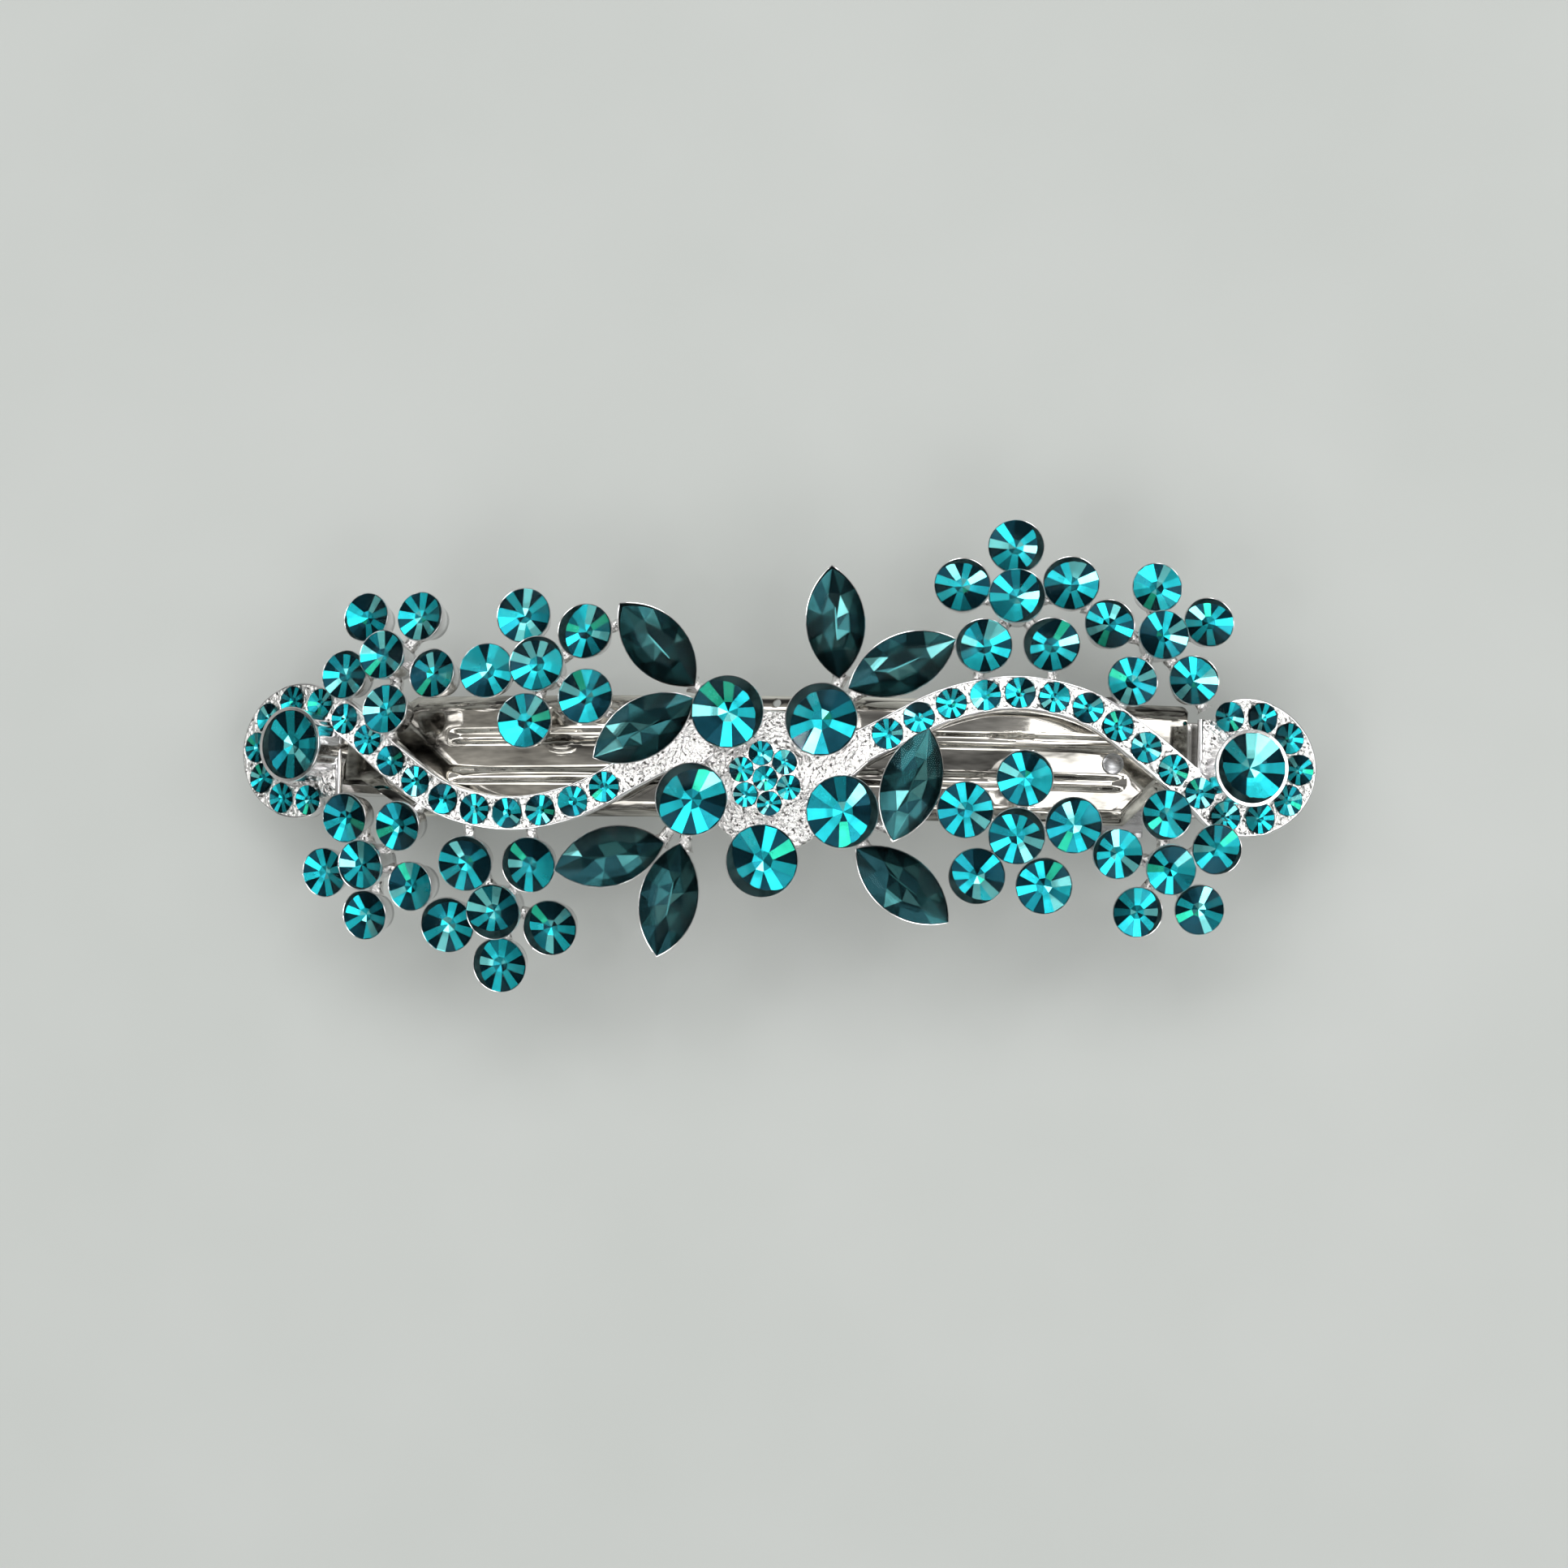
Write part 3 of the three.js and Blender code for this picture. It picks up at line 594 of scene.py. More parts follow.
def hand_over(made, body, slot, *nodes):
    """The piece rides a body and stands for some nodes. The slot is not used."""
    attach(made, body)
    if nodes:
        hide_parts(*nodes)


# ---- the casting's dome


def bend(x):
    """How far a place is past the point where the back starts to bend down faster."""
    return max(0.0, abs(x) - BEND_START)


def dome_height(x, y):
    along = x ** 2 / (2 * LENGTH_RADIUS) + bend(x) ** 2 / (2 * BEND_RADIUS)
    return BACK_HEIGHT - along - y ** 2 / (2 * WIDTH_RADIUS)


def dome_normal(x, y):
    slope = x / LENGTH_RADIUS + math.copysign(bend(x), x) / BEND_RADIUS
    return Vector((slope, y / WIDTH_RADIUS, 1)).normalized()


def dome_point(x, y, lift=0.0):
    """A point this far above the back, before the casting's shift."""
    return dome_normal(x, y) * lift + Vector((x, y, dome_height(x, y)))


def standing(x, y, turn=0.0):
    """The frame of what stands on the dome at a place, turned about the dome's normal."""
    up = dome_normal(x, y)
    along = Vector((0, 1, 0)).cross(up).normalized()
    basis = Matrix((along, up.cross(along), up)).transposed().to_4x4()
    where = Matrix.Translation(dome_point(x, y) + CASTING_SHIFT)
    return where @ basis @ Matrix.Rotation(math.radians(turn), 4, "Z")


def unevenness(x, y, z, size, depth):
    """How far a cast surface stands off at a place, in lumps of this size."""
    return noise.noise(Vector((x, y, z)) / size) * depth


# ---- stones


def pick_tones(count, shares):
    """Foil numbers for a row of facets, drawn with these shares; the foils are painted lit and shaded
    copies, so this paints the facets' light and shade.
    """
    return chance.choices(range(1, len(shares) + 1), shares, k=count)


def round_gem(radius):
    """A round stone: eight mains between eight halves, above and below, and eight facets round its tip."""
    sides = 8
    corners = [360 / sides * k + side * GIRDLE_SPREAD for k in range(sides) for side in (-1, 1)]
    points = [(*p, CROWN_SHARE) for p in ring_places(sides, TABLE_SHARE)]
    points += [(*polar(1, a), GIRDLE_SHARE) for a in corners]
    points += [(*polar(1, a), -GIRDLE_SHARE) for a in corners]
    points += [(*p, -HUB_DEPTH) for p in ring_places(sides, HUB_SHARE)]
    points.append((0, 0, -PAVILION_SHARE))
    girdle, under, hub, tip = sides, 3 * sides, 5 * sides, 6 * sides
    faces = [tuple(range(sides))]
    back = []
    for k in range(sides):
        after = (k + 1) % sides
        left, right, then = 2 * k, 2 * k + 1, 2 * after
        faces.append((k, girdle + left, girdle + right))
        faces.append((k, girdle + right, girdle + then, after))
        for i, j in ((left, right), (right, then)):
            faces.append((girdle + i, under + i, under + j, girdle + j))
        back.append((hub + k, under + right, under + left))
        back.append((hub + k, hub + after, under + then, under + right))
        back.append((tip, hub + after, hub + k))
    # the facets under the crown take lit, shaded and glinting foils: painted light and shade
    tones = [pick_tones(sides, shares) for shares in (HALF_TONES, MAIN_TONES, HUB_TONES)]
    slots = [0] * len(faces) + [tone for row in zip(*tones) for tone in row]
    return Shell().add([Vector(p) * radius for p in points], faces + back, slots)


def leaf_gem(half_length, half_width):
    """A pointed stone: a row of facets round its table, and two foiled rows that fall to a keel."""
    sides, corners = 8, 16
    rings = []
    for long, wide, z in LEAF_RINGS:
        if abs(z) == GIRDLE_SHARE:
            outline = leaf_outline(half_length * long, half_width * wide, corners)[::2]
        else:
            outline = leaf_outline(half_length * long, half_width * wide, sides)[1::2]
        rings.append(level(outline, 1, half_width * z))
    starts = [sum(len(ring) for ring in rings[:i]) for i in range(len(rings) + 1)]
    keel, tier, under, girdle, table, end = starts
    # the foiled facets below take lit, shaded and glinting foils: painted light and shade
    faces, slots = [tuple(reversed(range(keel, tier))), tuple(range(table, end))], [1, 0]
    for i in range(corners):
        after = (i + 1) % corners
        faces.append((under + i, under + after, girdle + after, girdle + i))
        slots.append(0)
    for inner, outer, foiled in ((tier, under, True), (table, girdle, False)):
        for k in range(sides):
            left, top, right = 2 * k, 2 * k + 1, (2 * k + 2) % corners
            faces.append((inner + k, outer + left, outer + top))
            faces.append((inner + k, outer + top, outer + right))
            faces.append((inner + k, outer + right, inner + (k + 1) % sides))
            slots += pick_tones(3, LEAF_TONES) if foiled else [0, 0, 0]
    for k in range(sides):
        after = (k + 1) % sides
        faces.append((keel + k, tier + k, tier + after))
        faces.append((keel + k, tier + after, keel + after))
        slots += pick_tones(2, LEAF_TONES)
    return Shell().add([p for ring in rings for p in ring], faces, slots)


def place_gem(name, shell, glass, foils, slot, spin, place, nodes):
    """A stone in its seat, turned by up to spin degrees and tipped a little by the hand that set it."""
    angles = [chance.uniform(-TIP_ANGLE, TIP_ANGLE), chance.uniform(-TIP_ANGLE, TIP_ANGLE)]
    angles.append(chance.uniform(0, spin) if spin else 0)
    for angle, axis in zip(angles, "XYZ"):
        place = place @ Matrix.Rotation(math.radians(angle), 4, axis)
    hand_over(object_of(name, shell, (glass, *foils), 0, place), "top", slot, *nodes)


def place_round(name, radius, place, *nodes):
    place_gem(name, round_gem(radius), ZIRCON, ZIRCON_FOILS_LIT_AND_SHADED, "zircon_glass", 45, place, nodes)


def place_leaf(name, place, *nodes):
    place_gem(name, leaf_gem(*LEAF_HALF), SMOKY, SMOKY_FOILS_LIT_AND_SHADED, "smoky_glass", 0, place, nodes)


# ---- settings


def seated(place, height, at=(0, 0)):
    """The frame of a stone in a setting of this height."""
    return place @ Matrix.Translation((*at, height + SEAT_GAP))


def round_cup(radius, height, foot=PETAL_FOOT, rim=RIM, sides=40, radius_at=None):
    """A cup that widens from its foot to a thin rim, with a tapered seat inside painted dark as shade."""
    edge = height + SEAT_GAP
    wall = [
        (0, 0), (foot * radius, 0), (foot * radius + 0.1, 0.1), (mix(foot, 1, 0.4) * radius, 0.35 * edge),
        (mix(foot, 1, 0.8) * radius + 0.03, 0.65 * edge), (radius + rim - 0.03, edge - 0.3),
        (radius + rim, edge - 0.1), (radius + rim, edge + 0.02), (radius + rim - 0.04, edge + 0.06),
        (radius + 0.01, edge + 0.03), (radius + 0.005, edge - 0.1),
    ]
    seat = [(0.1 * radius, edge - radius * PAVILION_SHARE - 0.12), (0, 0.1)]
    points, faces = revolve(wall + seat, sides, radius_at)
    seat_start = (len(wall) - 2) * sides
    slots = [1 if min(face) >= seat_start and len(face) == 4 else 0 for face in faces]
    slots[-1] = 1
    return points, faces, slots


def link(start, end, inset, wide=LINK_RADIUS):
    """A short rough bar that flares towards both ends, and stops this far short of the two points."""
    start, end = Vector(start), Vector(end)
    ahead = (end - start).normalized()
    start, end = start + ahead * inset[0], end - ahead * inset[1]
    axis = end - start
    side = Vector((-axis.y, axis.x, 0)).normalized()
    up = axis.cross(side).normalized()
    up = up if up.z > 0 else -up
    rings = []
    for share in spread(0, 1, 9):
        swell = wide * (1 + (LINK_FLARE - 1) * (2 * share - 1) ** 4)
        centre = start + axis * share
        ring = [centre + side * p.x * swell + up * p.y * swell * 1.15 for p in ring_places(12, 1)]
        rings.append([p + noise.noise_vector(p / 0.5) * 0.09 for p in ring])
    return loft(rings)


def flower_shell(size, links, place):
    """One raised cup and five petal cups round it, joined by spokes, with links to the neighbours."""
    stone, ring = size
    shell = Shell().add(*round_cup(stone, RAISED_HEIGHT, foot=RAISED_FOOT))
    petals = ring_places(PETALS, ring)
    hub = (0, 0, LINK_HEIGHT)
    start = LINK_START * stone
    for at in petals:
        shell.add(*round_cup(stone, PETAL_HEIGHT), place=Matrix.Translation((*at, 0)))
        shell.add(*link((*at, LINK_HEIGHT), hub, (start, 0.5), LINK_RADIUS * 1.2), slot=2)
    for petal, x, y in links:
        target = place.inverted() @ (dome_point(x, y, LINK_HEIGHT) + CASTING_SHIFT)
        shell.add(*link((*petals[petal], LINK_HEIGHT), target, (start, 0.8)), slot=2)
    return shell


def build_flower(name, size, at, turn, links):
    place = standing(*at, turn)
    made = object_of(f"setting_flower_{name}", flower_shell(size, links, place), CASTING, 50, place)
    hand_over(made, "top", "casting", f"flower_{name}")
    stone, ring = size
    place_round(f"stone_flower_{name}", stone, seated(place, RAISED_HEIGHT), f"flower_stone_{name}")
    for i, petal in enumerate(ring_places(PETALS, ring)):
        place_round(f"petal_stone_{name}_{i + 1}", stone, seated(place, PETAL_HEIGHT, petal))


def leaf_cup():
    """A pointed cup with a thin rim and a seat painted dark as shade."""
    edge = LEAF_HEIGHT + SEAT_GAP
    out = leaf_outline(LEAF_HALF[0] + 0.12, LEAF_HALF[1] + 0.09, 16)
    inner = leaf_outline(LEAF_HALF[0] + 0.02, LEAF_HALF[1] + 0.02, 16)
    wall = [
        (0.76, 0), (0.79, 0.1), (0.9, 0.45 * edge), (0.98, edge - 0.3),
        (1, edge - 0.1), (1, edge + 0.02), (0.994, edge + 0.06),
    ]
    seat = [(1, edge + 0.03), (0.998, edge - 0.12), (0.4, 0.25)]
    points, faces = loft([level(out, *at) for at in wall] + [level(inner, *at) for at in seat])
    seat_start = (len(wall) + 1) * len(out)
    slots = [1 if min(face) >= seat_start else 0 for face in faces]
    return points, faces, slots


def build_leaf(name, at, turn):
    place = standing(*at, turn)
    shell = Shell().add(*leaf_cup())
    inward = Vector(MIDDLE) - Vector(at)
    heading = 1 if polar(1, turn).dot(inward) > 0 else -1
    tip = Vector((heading * (LEAF_HALF[0] - 0.9), 0))
    centres = [Vector(MIDDLE) + p for p in ring_places(*LARGE_RING)]
    tip_there = place @ Vector((*tip, LINK_HEIGHT)) - CASTING_SHIFT
    nearest = min(centres, key=lambda c: (c - tip_there.to_2d()).length)
    target = place.inverted() @ (dome_point(*nearest, LINK_HEIGHT) + CASTING_SHIFT)
    shell.add(*link((*tip, LINK_HEIGHT), target, (0, LARGE_LINK_START * LARGE_STONE), 0.6), slot=2)
    made = object_of(f"setting_leaf_{name}", shell, CASTING, 40, place)
    hand_over(made, "top", "casting", f"leaf_setting_{name}")
    place_leaf(f"stone_leaf_{name}", seated(place, LEAF_HEIGHT), f"leaf_stone_{name}")


def cone_seats(places, radius):
    """Tapered holes to cut for small stones, from just above their girdles down. Their walls take the seat
    metal, painted shade.
    """
    shell = Shell()
    depth, wide = SEAT_DEPTH * radius, radius + 0.03
    profile = [(0, -depth), (radius * 0.15, -depth), (wide, -0.08), (wide, 0.6), (0, 0.6)]
    for place in places:
        shell.add(*revolve(profile, 24), slot=1, place=place)
    return shell


def web_height(spot):
    """The web's top: a scalloped pedestal under the cluster that slopes into a plate."""
    off = spot - CLUSTER_SHIFT
    angle = math.degrees(math.atan2(off.y, off.x))
    pedestal = PEDESTAL_RADIUS + 0.16 * math.cos(math.radians(6 * (angle - CLUSTER_RING[2])))
    fall = ramp(off.length, (pedestal - 0.15, pedestal + 2.4)) ** 0.6
    plate = WEB_HEIGHT - 0.25 * smooth_step(spot.length, WEB_RADIUS - 1.3, WEB_RADIUS)
    return mix(CLUSTER_HEIGHT + SEAT_GAP - 0.02, plate, fall)


def web_shell():
    segments = 144
    angles = [360 * i / segments for i in range(segments)]

    def at(r, angle, z=None):
        scallop = 0.22 * math.cos(math.radians(LARGE_RING[0] * (angle - LARGE_RING[2])))
        spot = polar(r + scallop * smooth_step(r, 4, WEB_RADIUS - 0.2), angle)
        lift = unevenness(*spot, 0, 0.45, 0.05)
        return (*spot, web_height(spot) + lift if z is None else z)

    rings = [[at(r, a) for a in angles] for r in spread(0.5, WEB_RADIUS - 0.2, 38)]
    for inset, z in ((0.06, WEB_HEIGHT - 0.4), (0, WEB_HEIGHT - 0.6), (0.04, 0.12), (0.2, 0)):
        rings.append([at(WEB_RADIUS - inset, a, z) for a in angles])
    return Shell().add(*loft(rings), slot=2)


def build_middle():
    place = standing(*MIDDLE)
    web = object_of("setting_web", web_shell(), CASTING, 60, place)
    seats = [CLUSTER_SHIFT + at for at in [Vector((0, 0))] + ring_places(*CLUSTER_RING)]
    holes = [seated(place, CLUSTER_HEIGHT, at) for at in seats]
    cut(web, cone_seats(holes, CLUSTER_STONE))
    hand_over(web, "top", "casting", "casting_middle")
    shell = Shell()
    cup = round_cup(LARGE_STONE, LARGE_HEIGHT, foot=LARGE_FOOT, sides=48)
    inset = (4, LARGE_LINK_START * LARGE_STONE)
    for at in ring_places(*LARGE_RING):
        shell.add(*cup, place=Matrix.Translation((*at, 0)))
        shell.add(*link((0, 0, LINK_HEIGHT), (*at, LINK_HEIGHT), inset, 0.7), slot=2)
    hand_over(object_of("setting_large_cups", shell, CASTING, 50, place), "top", "casting")
    for i, at in enumerate(ring_places(*LARGE_RING)):
        seat = seated(place, LARGE_HEIGHT, at)
        place_round(f"stone_large_{i + 1}", LARGE_STONE, seat, f"large_stone_{i + 1}")
    for i, hole in enumerate(holes):
        place_round(f"stone_cluster_{i + 1}", CLUSTER_STONE, hole, f"cluster_stone_{i + 1}")


# ---- bands


def half_turned(point, band):
    return 2 * Vector(HALF_TURN_CENTRE) - Vector(point) if band["half_turn"] else Vector(point)


def band_points(band):
    """Points close together along the loop and the wave, and how far along each is."""
    loop = Vector(band["loop"])
    knots = [loop + polar(LOOP_RADIUS, a) for a in spread(*LOOP_ANGLES, LOOP_SPANS)]
    knots = [half_turned(p, band) for p in knots + [Vector(p) for p in WAVE_POINTS]]
    padded = [knots[0]] + knots + [knots[-1]]
    points = []
    for i in range(len(knots) - 1):
        before, a, b, after = padded[i:i + 4]
        for share in spread(0, 1, 24)[:-1]:
            start, stop = (b - before) / 2, (after - a) / 2
            cube = (2 * a - 2 * b + start + stop) * share ** 3
            square = (3 * b - 3 * a - 2 * start - stop) * share ** 2
            points.append(cube + square + start * share + a)
    points.append(knots[-1])
    lengths = [0.0]
    for a, b in zip(points, points[1:]):
        lengths.append(lengths[-1] + (b - a).length)
    return points, lengths


def along_band(line, distance):
    """The point this far along, and the direction there."""
    points, lengths = line
    distance = min(max(distance, 0.0), lengths[-1])
    i = max(k for k in range(len(lengths) - 1) if lengths[k] <= distance)
    share = (distance - lengths[i]) / (lengths[i + 1] - lengths[i])
    return points[i].lerp(points[i + 1], share), (points[i + 1] - points[i]).normalized()


def ribbon_section():
    """Half the ribbon's section from its middle out: a rough floor, a polished lip and a rounded wall."""
    wide, high = BAND_HALF_WIDTH, BAND_THICKNESS
    floor = [(0, high), (wide * 0.4, high), (wide - 0.3, high - 0.01)]
    lip = [(wide - 0.2, high + 0.04), (wide - 0.08, high + 0.02), (wide, high - 0.12)]
    return floor + lip + [(wide, 0.25), (wide - 0.12, 0.05), (wide - 0.3, 0)]


def ribbon_shell(line):
    half = ribbon_section()
    section = [(-y, z) for y, z in reversed(half[1:])] + half
    middle = len(half) - 1
    rough = range(middle - 3, middle + 3)
    total = line[1][-1]
    flare_start, flare_end = (total - inset for inset in BAND_FLARE_SPAN)
    rings = []
    for i in range(BAND_STEPS + 1):
        distance = total * i / BAND_STEPS
        at, ahead = along_band(line, distance)
        across = Vector((-ahead.y, ahead.x))
        from_end = min(distance, total - distance)
        tip = min(1.0, (from_end + BAND_TIP_START) / BAND_TIP_LENGTH)
        narrow = math.sqrt(max(0.0, 1 - (1 - tip) ** 2))
        narrow *= 1 + BAND_FLARE * smooth_step(distance, flare_start, flare_end)
        ring = []
        for y, z in section:
            spot = at + across * y * narrow
            lift = unevenness(*spot, z, 0.4, 0.035) if abs(y) < BAND_HALF_WIDTH - 0.35 else 0
            ring.append(dome_point(*spot, z + lift) + CASTING_SHIFT)
        rings.append(ring)
    points, faces = loft(rings)
    slots = [2 if i % len(section) in rough else 0 for i in range(len(faces) - 2)] + [0, 0]
    return Shell().add(points, faces, slots)


def end_web_outline(band):
    """Under the loop round to its free end, then along a straight bar across the loop's mouth."""
    loop = Vector(band["loop"])
    arc = [loop + polar(LOOP_RADIUS, a) for a in spread(*END_WEB_ARC)]
    first, last = (loop + Vector(end) for end in MOUTH)
    turn = [arc[-1].lerp(first, share) for share in (0.33, 0.66)]
    return arc + turn + [first.lerp(last, share) for share in spread(0, 1, MOUTH_SPANS)]


def end_web_shell(band):
    outline = end_web_outline(band)
    centre = Vector(band["cup"])
    rings = []
    for share, lift in END_WEB_RINGS:
        ring = []
        for p in outline:
            spot = half_turned(centre.lerp(p, share), band)
            bump = unevenness(*spot, 0, 0.4, 0.05) if lift > 0.5 else 0
            ring.append(dome_point(*spot, lift + bump) + CASTING_SHIFT)
        rings.append(ring)
    bar = [half_turned(p, band) for p in outline[-MOUTH_SPANS - 1:]]
    ahead = (bar[-1] - bar[0]).normalized()
    across = Vector((-ahead.y, ahead.x)) * RIDGE_HALF[0]
    ridge = []
    for p in bar:
        ring = [(p + across * q.x, RIDGE_LIFT + q.y * RIDGE_HALF[1]) for q in ring_places(10, 1)]
        ridge.append([dome_point(*spot, lift) + CASTING_SHIFT for spot, lift in ring])
    return Shell().add(*loft(rings), slot=2).add(*loft(ridge))


def fluted(r, z, angle):
    """The raised cup's wall is fluted between its foot and its rim."""
    inside = smooth_step(z, 1.2, 1.8) * (1 - smooth_step(z, END_HEIGHT - 0.5, END_HEIGHT))
    return r + FLUTE_DEPTH * inside * math.cos(math.radians(FLUTES * angle))


def build_band(side):
    band = BANDS[side]
    line = band_points(band)
    ribbon = object_of(f"setting_band_{side}", ribbon_shell(line), CASTING, 50)
    seats = []
    first, step, growth = band["steps"]
    for i in range(band["count"]):
        at, _ = along_band(line, first + step * i + growth * i * i)
        seats.append(standing(*at, 45 * i) @ Matrix.Translation((0, 0, BAND_THICKNESS + 0.02)))
    cut(ribbon, cone_seats(seats, BAND_STONE))
    hand_over(ribbon, "top", "casting", f"casting_band_{side}")
    place = standing(*half_turned(band["cup"], band))
    cup = round_cup(END_STONE, END_HEIGHT, END_FOOT, END_RIM, 144, fluted)
    web = end_web_shell(band)
    shell = Shell().add(*cup, place=place).add(web.points, web.faces, web.slots)
    hand_over(object_of(f"setting_end_{side}", shell, CASTING, 50), "top", "casting")
    place_round(f"stone_end_{side}", END_STONE, seated(place, END_HEIGHT), f"end_stone_{side}")
    for i, place in enumerate(seats):
        place_round(f"band_stone_{side}_{i + 1}", BAND_STONE, place)


# ---- the barrette


def build_steel(name, shell, finish, edge, body, *nodes, holes=None, sharp=35.0):
    """A steel piece with its holes cut and its edges softened."""
    made = object_of(name, shell, (finish,), sharp)
    if holes:
        cut(made, holes)
    soften(made, edge)
    hand_over(made, body, "spring_steel" if finish == SPRING else "plate_steel", *nodes)


def plate_height(x):
    return PLATE_TOP - x ** 2 / (2 * PLATE_ARCH_RADIUS)


def plate_edges(x):
    wide = mix(BARREL_HALF, PLATE_HALF_WIDTH, ramp(x, BARREL_TAPER))
    front = mix(-wide, NOSE_FRONT, ramp(x, NOSE_TAPER))
    return front, wide


def plate_relief(x, y):
    """How far the plate's face is off its arch: flanges, two pressed grooves and a small boss."""
    front, wide = plate_edges(x)
    fold = max(0.0, 1 - min(y - front, wide - y) / FLANGE_WIDTH)
    relief = -FLANGE_DROP * ramp(x, BARREL_TAPER) * fold ** 1.6
    inside = smooth_step(x, GROOVE_ENDS[0], GROOVE_ENDS[0] + 1.4)
    inside *= 1 - smooth_step(x, GROOVE_ENDS[1] - 1.4, GROOVE_ENDS[1])
    off = abs(abs(y) - GROOVE_Y) / GROOVE_HALF_WIDTH
    relief -= GROOVE_DEPTH * inside * (1 - smooth_step(off, 0.25, 1.0))
    out = math.hypot((x - BOSS_AT[0]) / BOSS_HALF[0], (y - BOSS_AT[1]) / BOSS_HALF[1])
    return relief + BOSS_HEIGHT * (1 - smooth_step(out, 0.55, 1.0))


def plate_shell():
    """The plate as rings across it: its face from front to back, then its underside back again."""
    stops = (PLATE_START, *BARREL_TAPER, GROOVE_ENDS[0] + 1.6, 29.6, PLATE_END)
    rings = []
    for x in stations(stops, (4, 14, 18, 150, 26)):
        front, wide = plate_edges(x)
        round_off = 0.5 * ramp(x, (PLATE_END - 0.6, PLATE_END)) ** 2
        ys = spread(front + round_off, wide - round_off, 56)
        top = [Vector((x, y, plate_height(x) + plate_relief(x, y))) for y in ys]
        rings.append(top + [p - Vector((0, 0, PLATE_THICKNESS)) for p in reversed(top)])
    return Shell().add(*loft(rings))


def barrel_shell():
    """The plate's end rolled round the pin, with the seam left open below."""
    middle = BARREL_RADIUS - BARREL_SHEET / 2
    rings = []
    for angle in spread(28, 338, 44):
        ring = []
        for r, y in ((-0.5, -1), (-0.5, 1), (0.5, 1), (0.5, -1)):
            out = polar(middle + r * BARREL_SHEET, angle)
            ring.append((HINGE.x + out.x, y * BARREL_HALF, HINGE.z + out.y))
        rings.append(ring)
    return Shell().add(*loft(rings))


def cross_rod(centre, radius, reach, sides):
    """A rod along Y that reaches this far to both sides."""
    rings = []
    for y in (-reach, reach):
        rings.append([(centre.x + p.x, y, centre.z + p.y) for p in ring_places(sides, radius)])
    return loft(rings)


def sloped(lift=0.0):
    """The catch's frame: its origin is on the plate's underside, sloping as the plate does there."""
    where = Matrix.Translation((CATCH_X, 0, plate_height(CATCH_X) - PLATE_THICKNESS + lift))
    return where @ Matrix.Rotation(math.atan(CATCH_SLOPE), 4, "Y")


def block(low, high):
    corners = [(low[0], low[1]), (high[0], low[1]), (high[0], high[1]), (low[0], high[1])]
    return loft([level(corners, 1, low[2]), level(corners, 1, high[2])])


def build_plate():
    pinhole = Matrix.Translation((*PINHOLE_AT, plate_height(PINHOLE_AT[0])))
    rivet_hole = sloped(PLATE_THICKNESS / 2)
    holes = Shell()
    drills = ((PINHOLE_RADIUS, 20, 1, pinhole), (RIVET_RADIUS + RIVET_PLAY, 24, 2, rivet_hole))
    for radius, sides, top, place in drills:
        holes.add(*revolve([(0, -2), (radius, -2), (radius, top), (0, top)], sides), place=place)
    build_steel("base_plate_shell", plate_shell(), CHROME, 0.09, "top", "base_plate", holes=holes, sharp=40)
    build_steel("base_plate_barrel", barrel_shell(), CHROME, 0.09, "top")


def build_turned(name, profile, place, body, node):
    """A turned piece of spring steel."""
    made = object_of(name, Shell().add(*revolve(profile, 32)), (SPRING,), 50, place)
    hand_over(made, body, "spring_steel", node)


def dome_profile(radius, base, height):
    """A domed head's section from its edge up to the axis."""
    angles = [math.radians(angle) for angle in spread(0, 84, 7)]
    return [(radius * math.cos(angle), base + height * math.sin(angle)) for angle in angles]


def build_pin():
    head = EAR_INNER + EAR_THICKNESS
    neck, edge = head + 0.1, head + 0.22
    upper = [(PIN_RADIUS, neck), (HEAD_RADIUS - 0.05, neck), (HEAD_RADIUS, neck + 0.05)]
    upper += dome_profile(HEAD_RADIUS, edge, 0.26)
    lower = [(r, -z) for r, z in reversed(upper)]
    profile = [(0, -head - 0.5)] + lower + upper + [(0, head + 0.5)]
    place = Matrix.Translation(HINGE) @ Matrix.Rotation(math.radians(90), 4, "X")
    build_turned("hinge_pin_turned", profile, place, "clasp", "hinge_pin")


def build_rivet():
    half = PLATE_THICKNESS / 2
    foot, neck = -half - 1, half + 0.05
    profile = [
        (0, foot - 0.3), (RIVET_FOOT - 0.1, foot - 0.3), (RIVET_FOOT, foot - 0.2), (RIVET_FOOT, foot),
        (RIVET_RADIUS, foot), (RIVET_RADIUS, neck), (HEAD_RADIUS, neck),
    ]
    profile += dome_profile(HEAD_RADIUS, half + 0.1, 0.24) + [(0, half + 0.34)]
    build_turned("catch_rivet_domed", profile, sloped(half), "top", "catch_rivet")


def arch_lift(x, span):
    across = ramp(x, span)
    return 4 * across * (1 - across)


def arm_underside(x):
    from_foot = smooth_step(x, ARM_FOOT_END, ARM_ARCH[0])
    to_nose = 1 - smooth_step(x, NOSE_START, NOSE_END - 1.4)
    return ARM_LOW * from_foot * to_nose + ARM_RISE * arch_lift(x, ARM_ARCH)


def strip(xs, half_width, underside, thickness, crown=0.0):
    """A strip along the clip. crown raises the middle of its face and underside."""
    rings = []
    for x in xs:
        half, low = half_width(x), underside(x)
        across = spread(-1, 1, 10)
        under = [(x, t * half, low + crown * (1 - t * t)) for t in across]
        over = [(x, t * half, low + thickness + crown * (1 - t * t)) for t in reversed(across)]
        rings.append(under + over)
    return loft(rings)


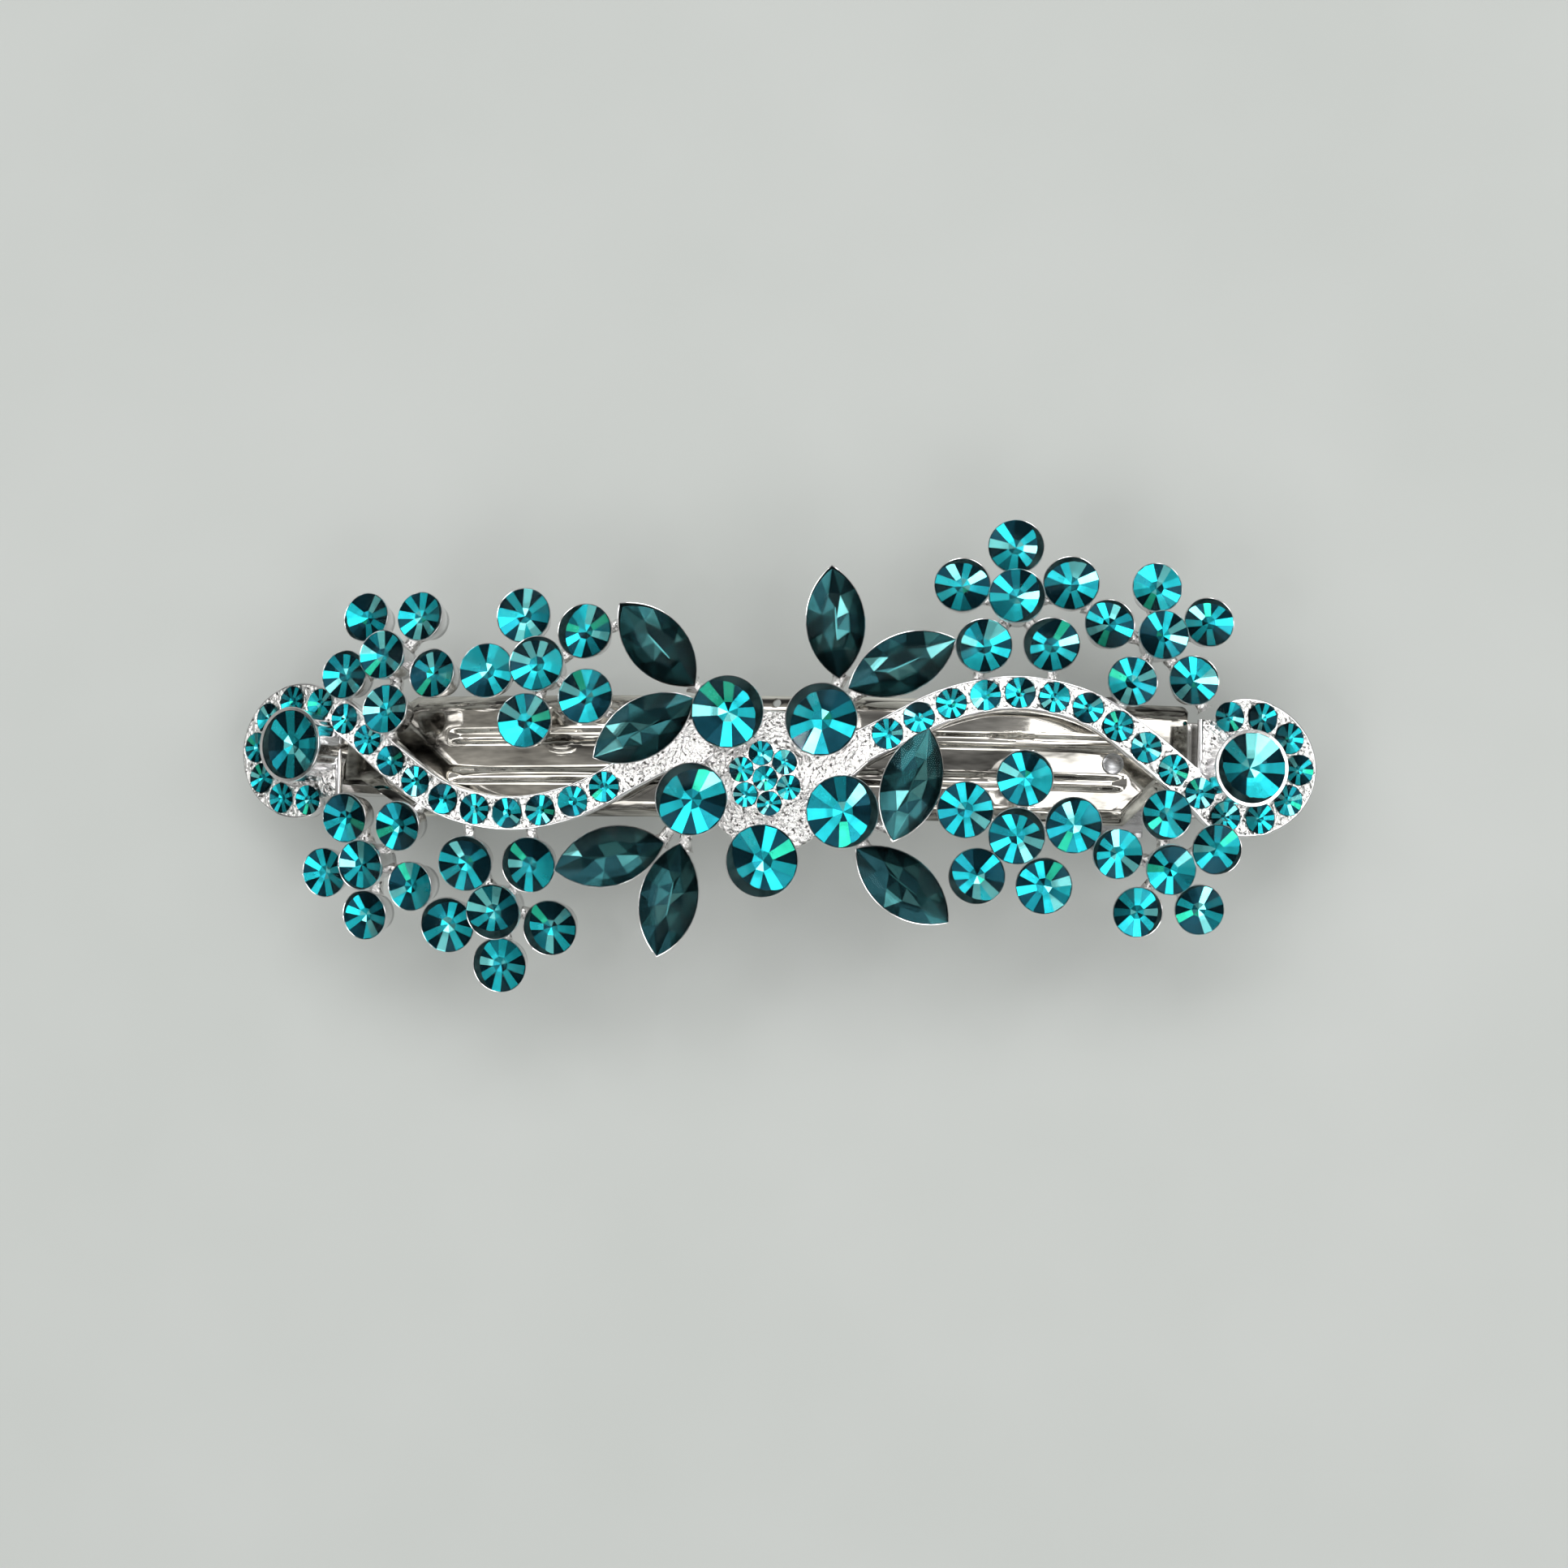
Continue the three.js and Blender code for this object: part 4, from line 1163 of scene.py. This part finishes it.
def ear_outline():
    """A flat foot, then up round the bow's pivot and round the hinge."""
    outline = [(ARM_HEEL, EAR_FOOT), (BOW_PIVOT.x + EAR_TOE_RADIUS + 0.1, EAR_FOOT)]
    arcs = ((BOW_PIVOT, EAR_TOE_RADIUS, (-20, 110, 14)), (HINGE, EAR_RADIUS, (60, 180, 18)))
    for centre, radius, turn in arcs:
        arc = [polar(radius, angle) for angle in spread(*turn)]
        outline += [(centre.x + p.x, centre.z + p.y) for p in arc]
    return outline


def build_arm():
    def half_width(x):
        end = 0.7 * ramp(x, (NOSE_END - 1.2, NOSE_END)) ** 2
        return mix(ARM_HALF_WIDTH, PADDLE_HALF_WIDTH, smooth_step(x, PADDLE_START, PADDLE_START + 2)) - end

    xs = stations((ARM_HEEL, ARM_FOOT_END, ARM_ARCH[0], NOSE_START, NOSE_END), (4, 14, 90, 20))
    shell = Shell().add(*strip(xs, half_width, arm_underside, ARM_THICKNESS))
    long, wide = WINDOW_HALF
    window = Shell().add(*block((CATCH_X - long, -wide, -1), (CATCH_X + long, wide, 5)))
    build_steel("clasp_arm_strip", shell, ARM_STEEL, 0.12, "clasp", "clasp_arm", holes=window)
    for side, name in SIDES:
        near, far = side * EAR_INNER, side * (EAR_INNER + EAR_THICKNESS + EAR_PROUD)
        plates = loft([[(x, y, z) for x, z in ear_outline()] for y in (near, far)])
        bores = Shell().add(*cross_rod(HINGE, PIN_RADIUS + BORE_PLAY, 5, 32))
        bores.add(*cross_rod(BOW_PIVOT, BOW_LUG_RADIUS + BORE_PLAY, 5, 24))
        build_steel(f"clasp_ear_{name}", Shell().add(*plates), ARM_STEEL, 0.1, "clasp", holes=bores)


def build_bow():
    """The bow rises from its pivot over the arm and comes down again short of the catch."""

    def underside(x):
        low = BOW_PIVOT.z - BOW_THICKNESS / 2
        rise = BOW_TOP - BOW_THICKNESS - low
        return low + rise * arch_lift(x, BOW_ARCH) + BOW_TIP_LIFT * ramp(x, BOW_TIP_RISE)

    def half_width(x):
        return BOW_HALF_WIDTH * math.sqrt(1 - 0.75 * ramp(x, (BOW_END - 2, BOW_END)) ** 2)

    xs = stations((BOW_PIVOT.x - 0.4, BOW_END - 2, BOW_END), (70, 10))
    leaf = strip(xs, half_width, underside, BOW_THICKNESS, crown=0.06)
    build_steel("tension_bow_leaf", Shell().add(*leaf), SPRING, 0.08, "bow", "tension_bow")
    lugs = cross_rod(BOW_PIVOT, BOW_LUG_RADIUS, BOW_LUG_REACH, 24)
    build_steel("tension_bow_lugs", Shell().add(*lugs), SPRING, 0.08, "bow")


def build_catch():
    long, wide = BRACKET_HALF
    underside = -BRACKET_GAP - BRACKET_THICKNESS
    web = Shell().add(*block((-long, -wide, underside), (long, wide, -BRACKET_GAP)), place=sloped())
    build_steel("catch_web", web, SPRING, 0.12, "top", "catch_bracket")
    inner, outer = LEG_Y - LEG_HALF[1], LEG_Y + LEG_HALF[1]
    section = [(inner, None), (outer, None)] + [(outer + out, z) for out, z in LEG_PROFILE]
    section += [(outer, LEG_FOOT), (inner, LEG_FOOT)]
    top = plate_height(CATCH_X) - PLATE_THICKNESS + underside - LEG_GAP
    for side, name in SIDES:
        rings = []
        for x in spread(CATCH_X - LEG_HALF[0], CATCH_X + LEG_HALF[0], 8):
            high = top - CATCH_SLOPE * (x - CATCH_X)
            rings.append([(x, side * y, high if z is None else z) for y, z in section])
        leg = Shell().add(*loft(rings))
        build_steel(f"catch_leg_{name}_bent", leg, SPRING, 0.06, f"leg_{name}", f"catch_leg_{name}")


# ---- studio


def build_floor():
    side = spread(-FLOOR_HALF, FLOOR_HALF, FLOOR_SPANS)
    points = [(x, y, 0) for y in side for x in side]
    row = len(side)
    corners = [line * row + i for line in range(FLOOR_SPANS) for i in range(FLOOR_SPANS)]
    faces = [(a, a + 1, a + row + 1, a + row) for a in corners]
    object_of("studio_floor", Shell().add(points, faces), (floor_material(),))


def build_lamp(name, azimuth, elevation, distance, size, radiance):
    """A rectangular lamp that faces the clip."""
    lamp = bpy.data.lights.new(name, "AREA")
    lamp.shape = "RECTANGLE"
    lamp.size, lamp.size_y = size
    lamp.energy = radiance * math.pi * size[0] * size[1]
    made = bpy.data.objects.new(name, lamp)
    bpy.context.scene.collection.objects.link(made)
    across, up = polar(1, azimuth), math.radians(elevation)
    back = Vector((across.x * math.cos(up), across.y * math.cos(up), math.sin(up)))
    made.location = back * distance
    made.rotation_euler = back.to_track_quat("Z", "Y").to_euler()


def build_world():
    """A dim room with a pale horizon, a pale wall at the height of the lamps, and a dim ceiling."""
    world = bpy.data.worlds.new("studio")
    world.use_nodes = True
    bpy.context.scene.world = world
    tree = world.node_tree
    tree.nodes.clear()
    heading = add(tree, "ShaderNodeTexCoord").outputs["Generated"]
    height = add(tree, "ShaderNodeSeparateXYZ", {"Vector": heading}).outputs["Z"]
    horizon, room = (0.55, 0.56, 0.55), (0.06, 0.062, 0.062)
    wall, ceiling = (0.42, 0.41, 0.39), (0.3, 0.3, 0.3)
    stops = [(0.06, horizon), (0.14, room), (0.3, room), (0.5, wall), (0.8, wall), (0.95, ceiling)]
    colour = ramp_colour(tree, height, stops)
    sky = add(tree, "ShaderNodeBackground", {"Color": colour, "Strength": 1.0})
    add(tree, "ShaderNodeOutputWorld", {"Surface": sky.outputs["Background"]})


def build_camera():
    lens = bpy.data.cameras.new("camera")
    lens.lens = CAMERA_LENS
    lens.sensor_width = 36
    made = bpy.data.objects.new("camera", lens)
    bpy.context.scene.collection.objects.link(made)
    back = (CAMERA_AT - CAMERA_AIM).normalized()
    tilt = math.radians(CAMERA_ROLL)
    side = Vector((-math.sin(tilt), math.cos(tilt), 0)).cross(back).normalized()
    turn = Matrix((side, back.cross(side), back)).transposed()
    made.matrix_world = Matrix.Translation(CAMERA_AT * MM) @ turn.to_4x4()
    bpy.context.scene.camera = made


# ---- assembly

build_camera()
build_world()
for name, lamp in LAMPS.items():
    build_lamp(name, *lamp)
build_floor()
bpy.context.scene.view_settings.view_transform = "Standard"

build_arm()
build_pin()
build_bow()
build_plate()
build_rivet()
build_catch()
build_middle()
for side in BANDS:
    build_band(side)
for leaf in LEAVES:
    build_leaf(*leaf)
for flower in FLOWERS:
    build_flower(*flower)
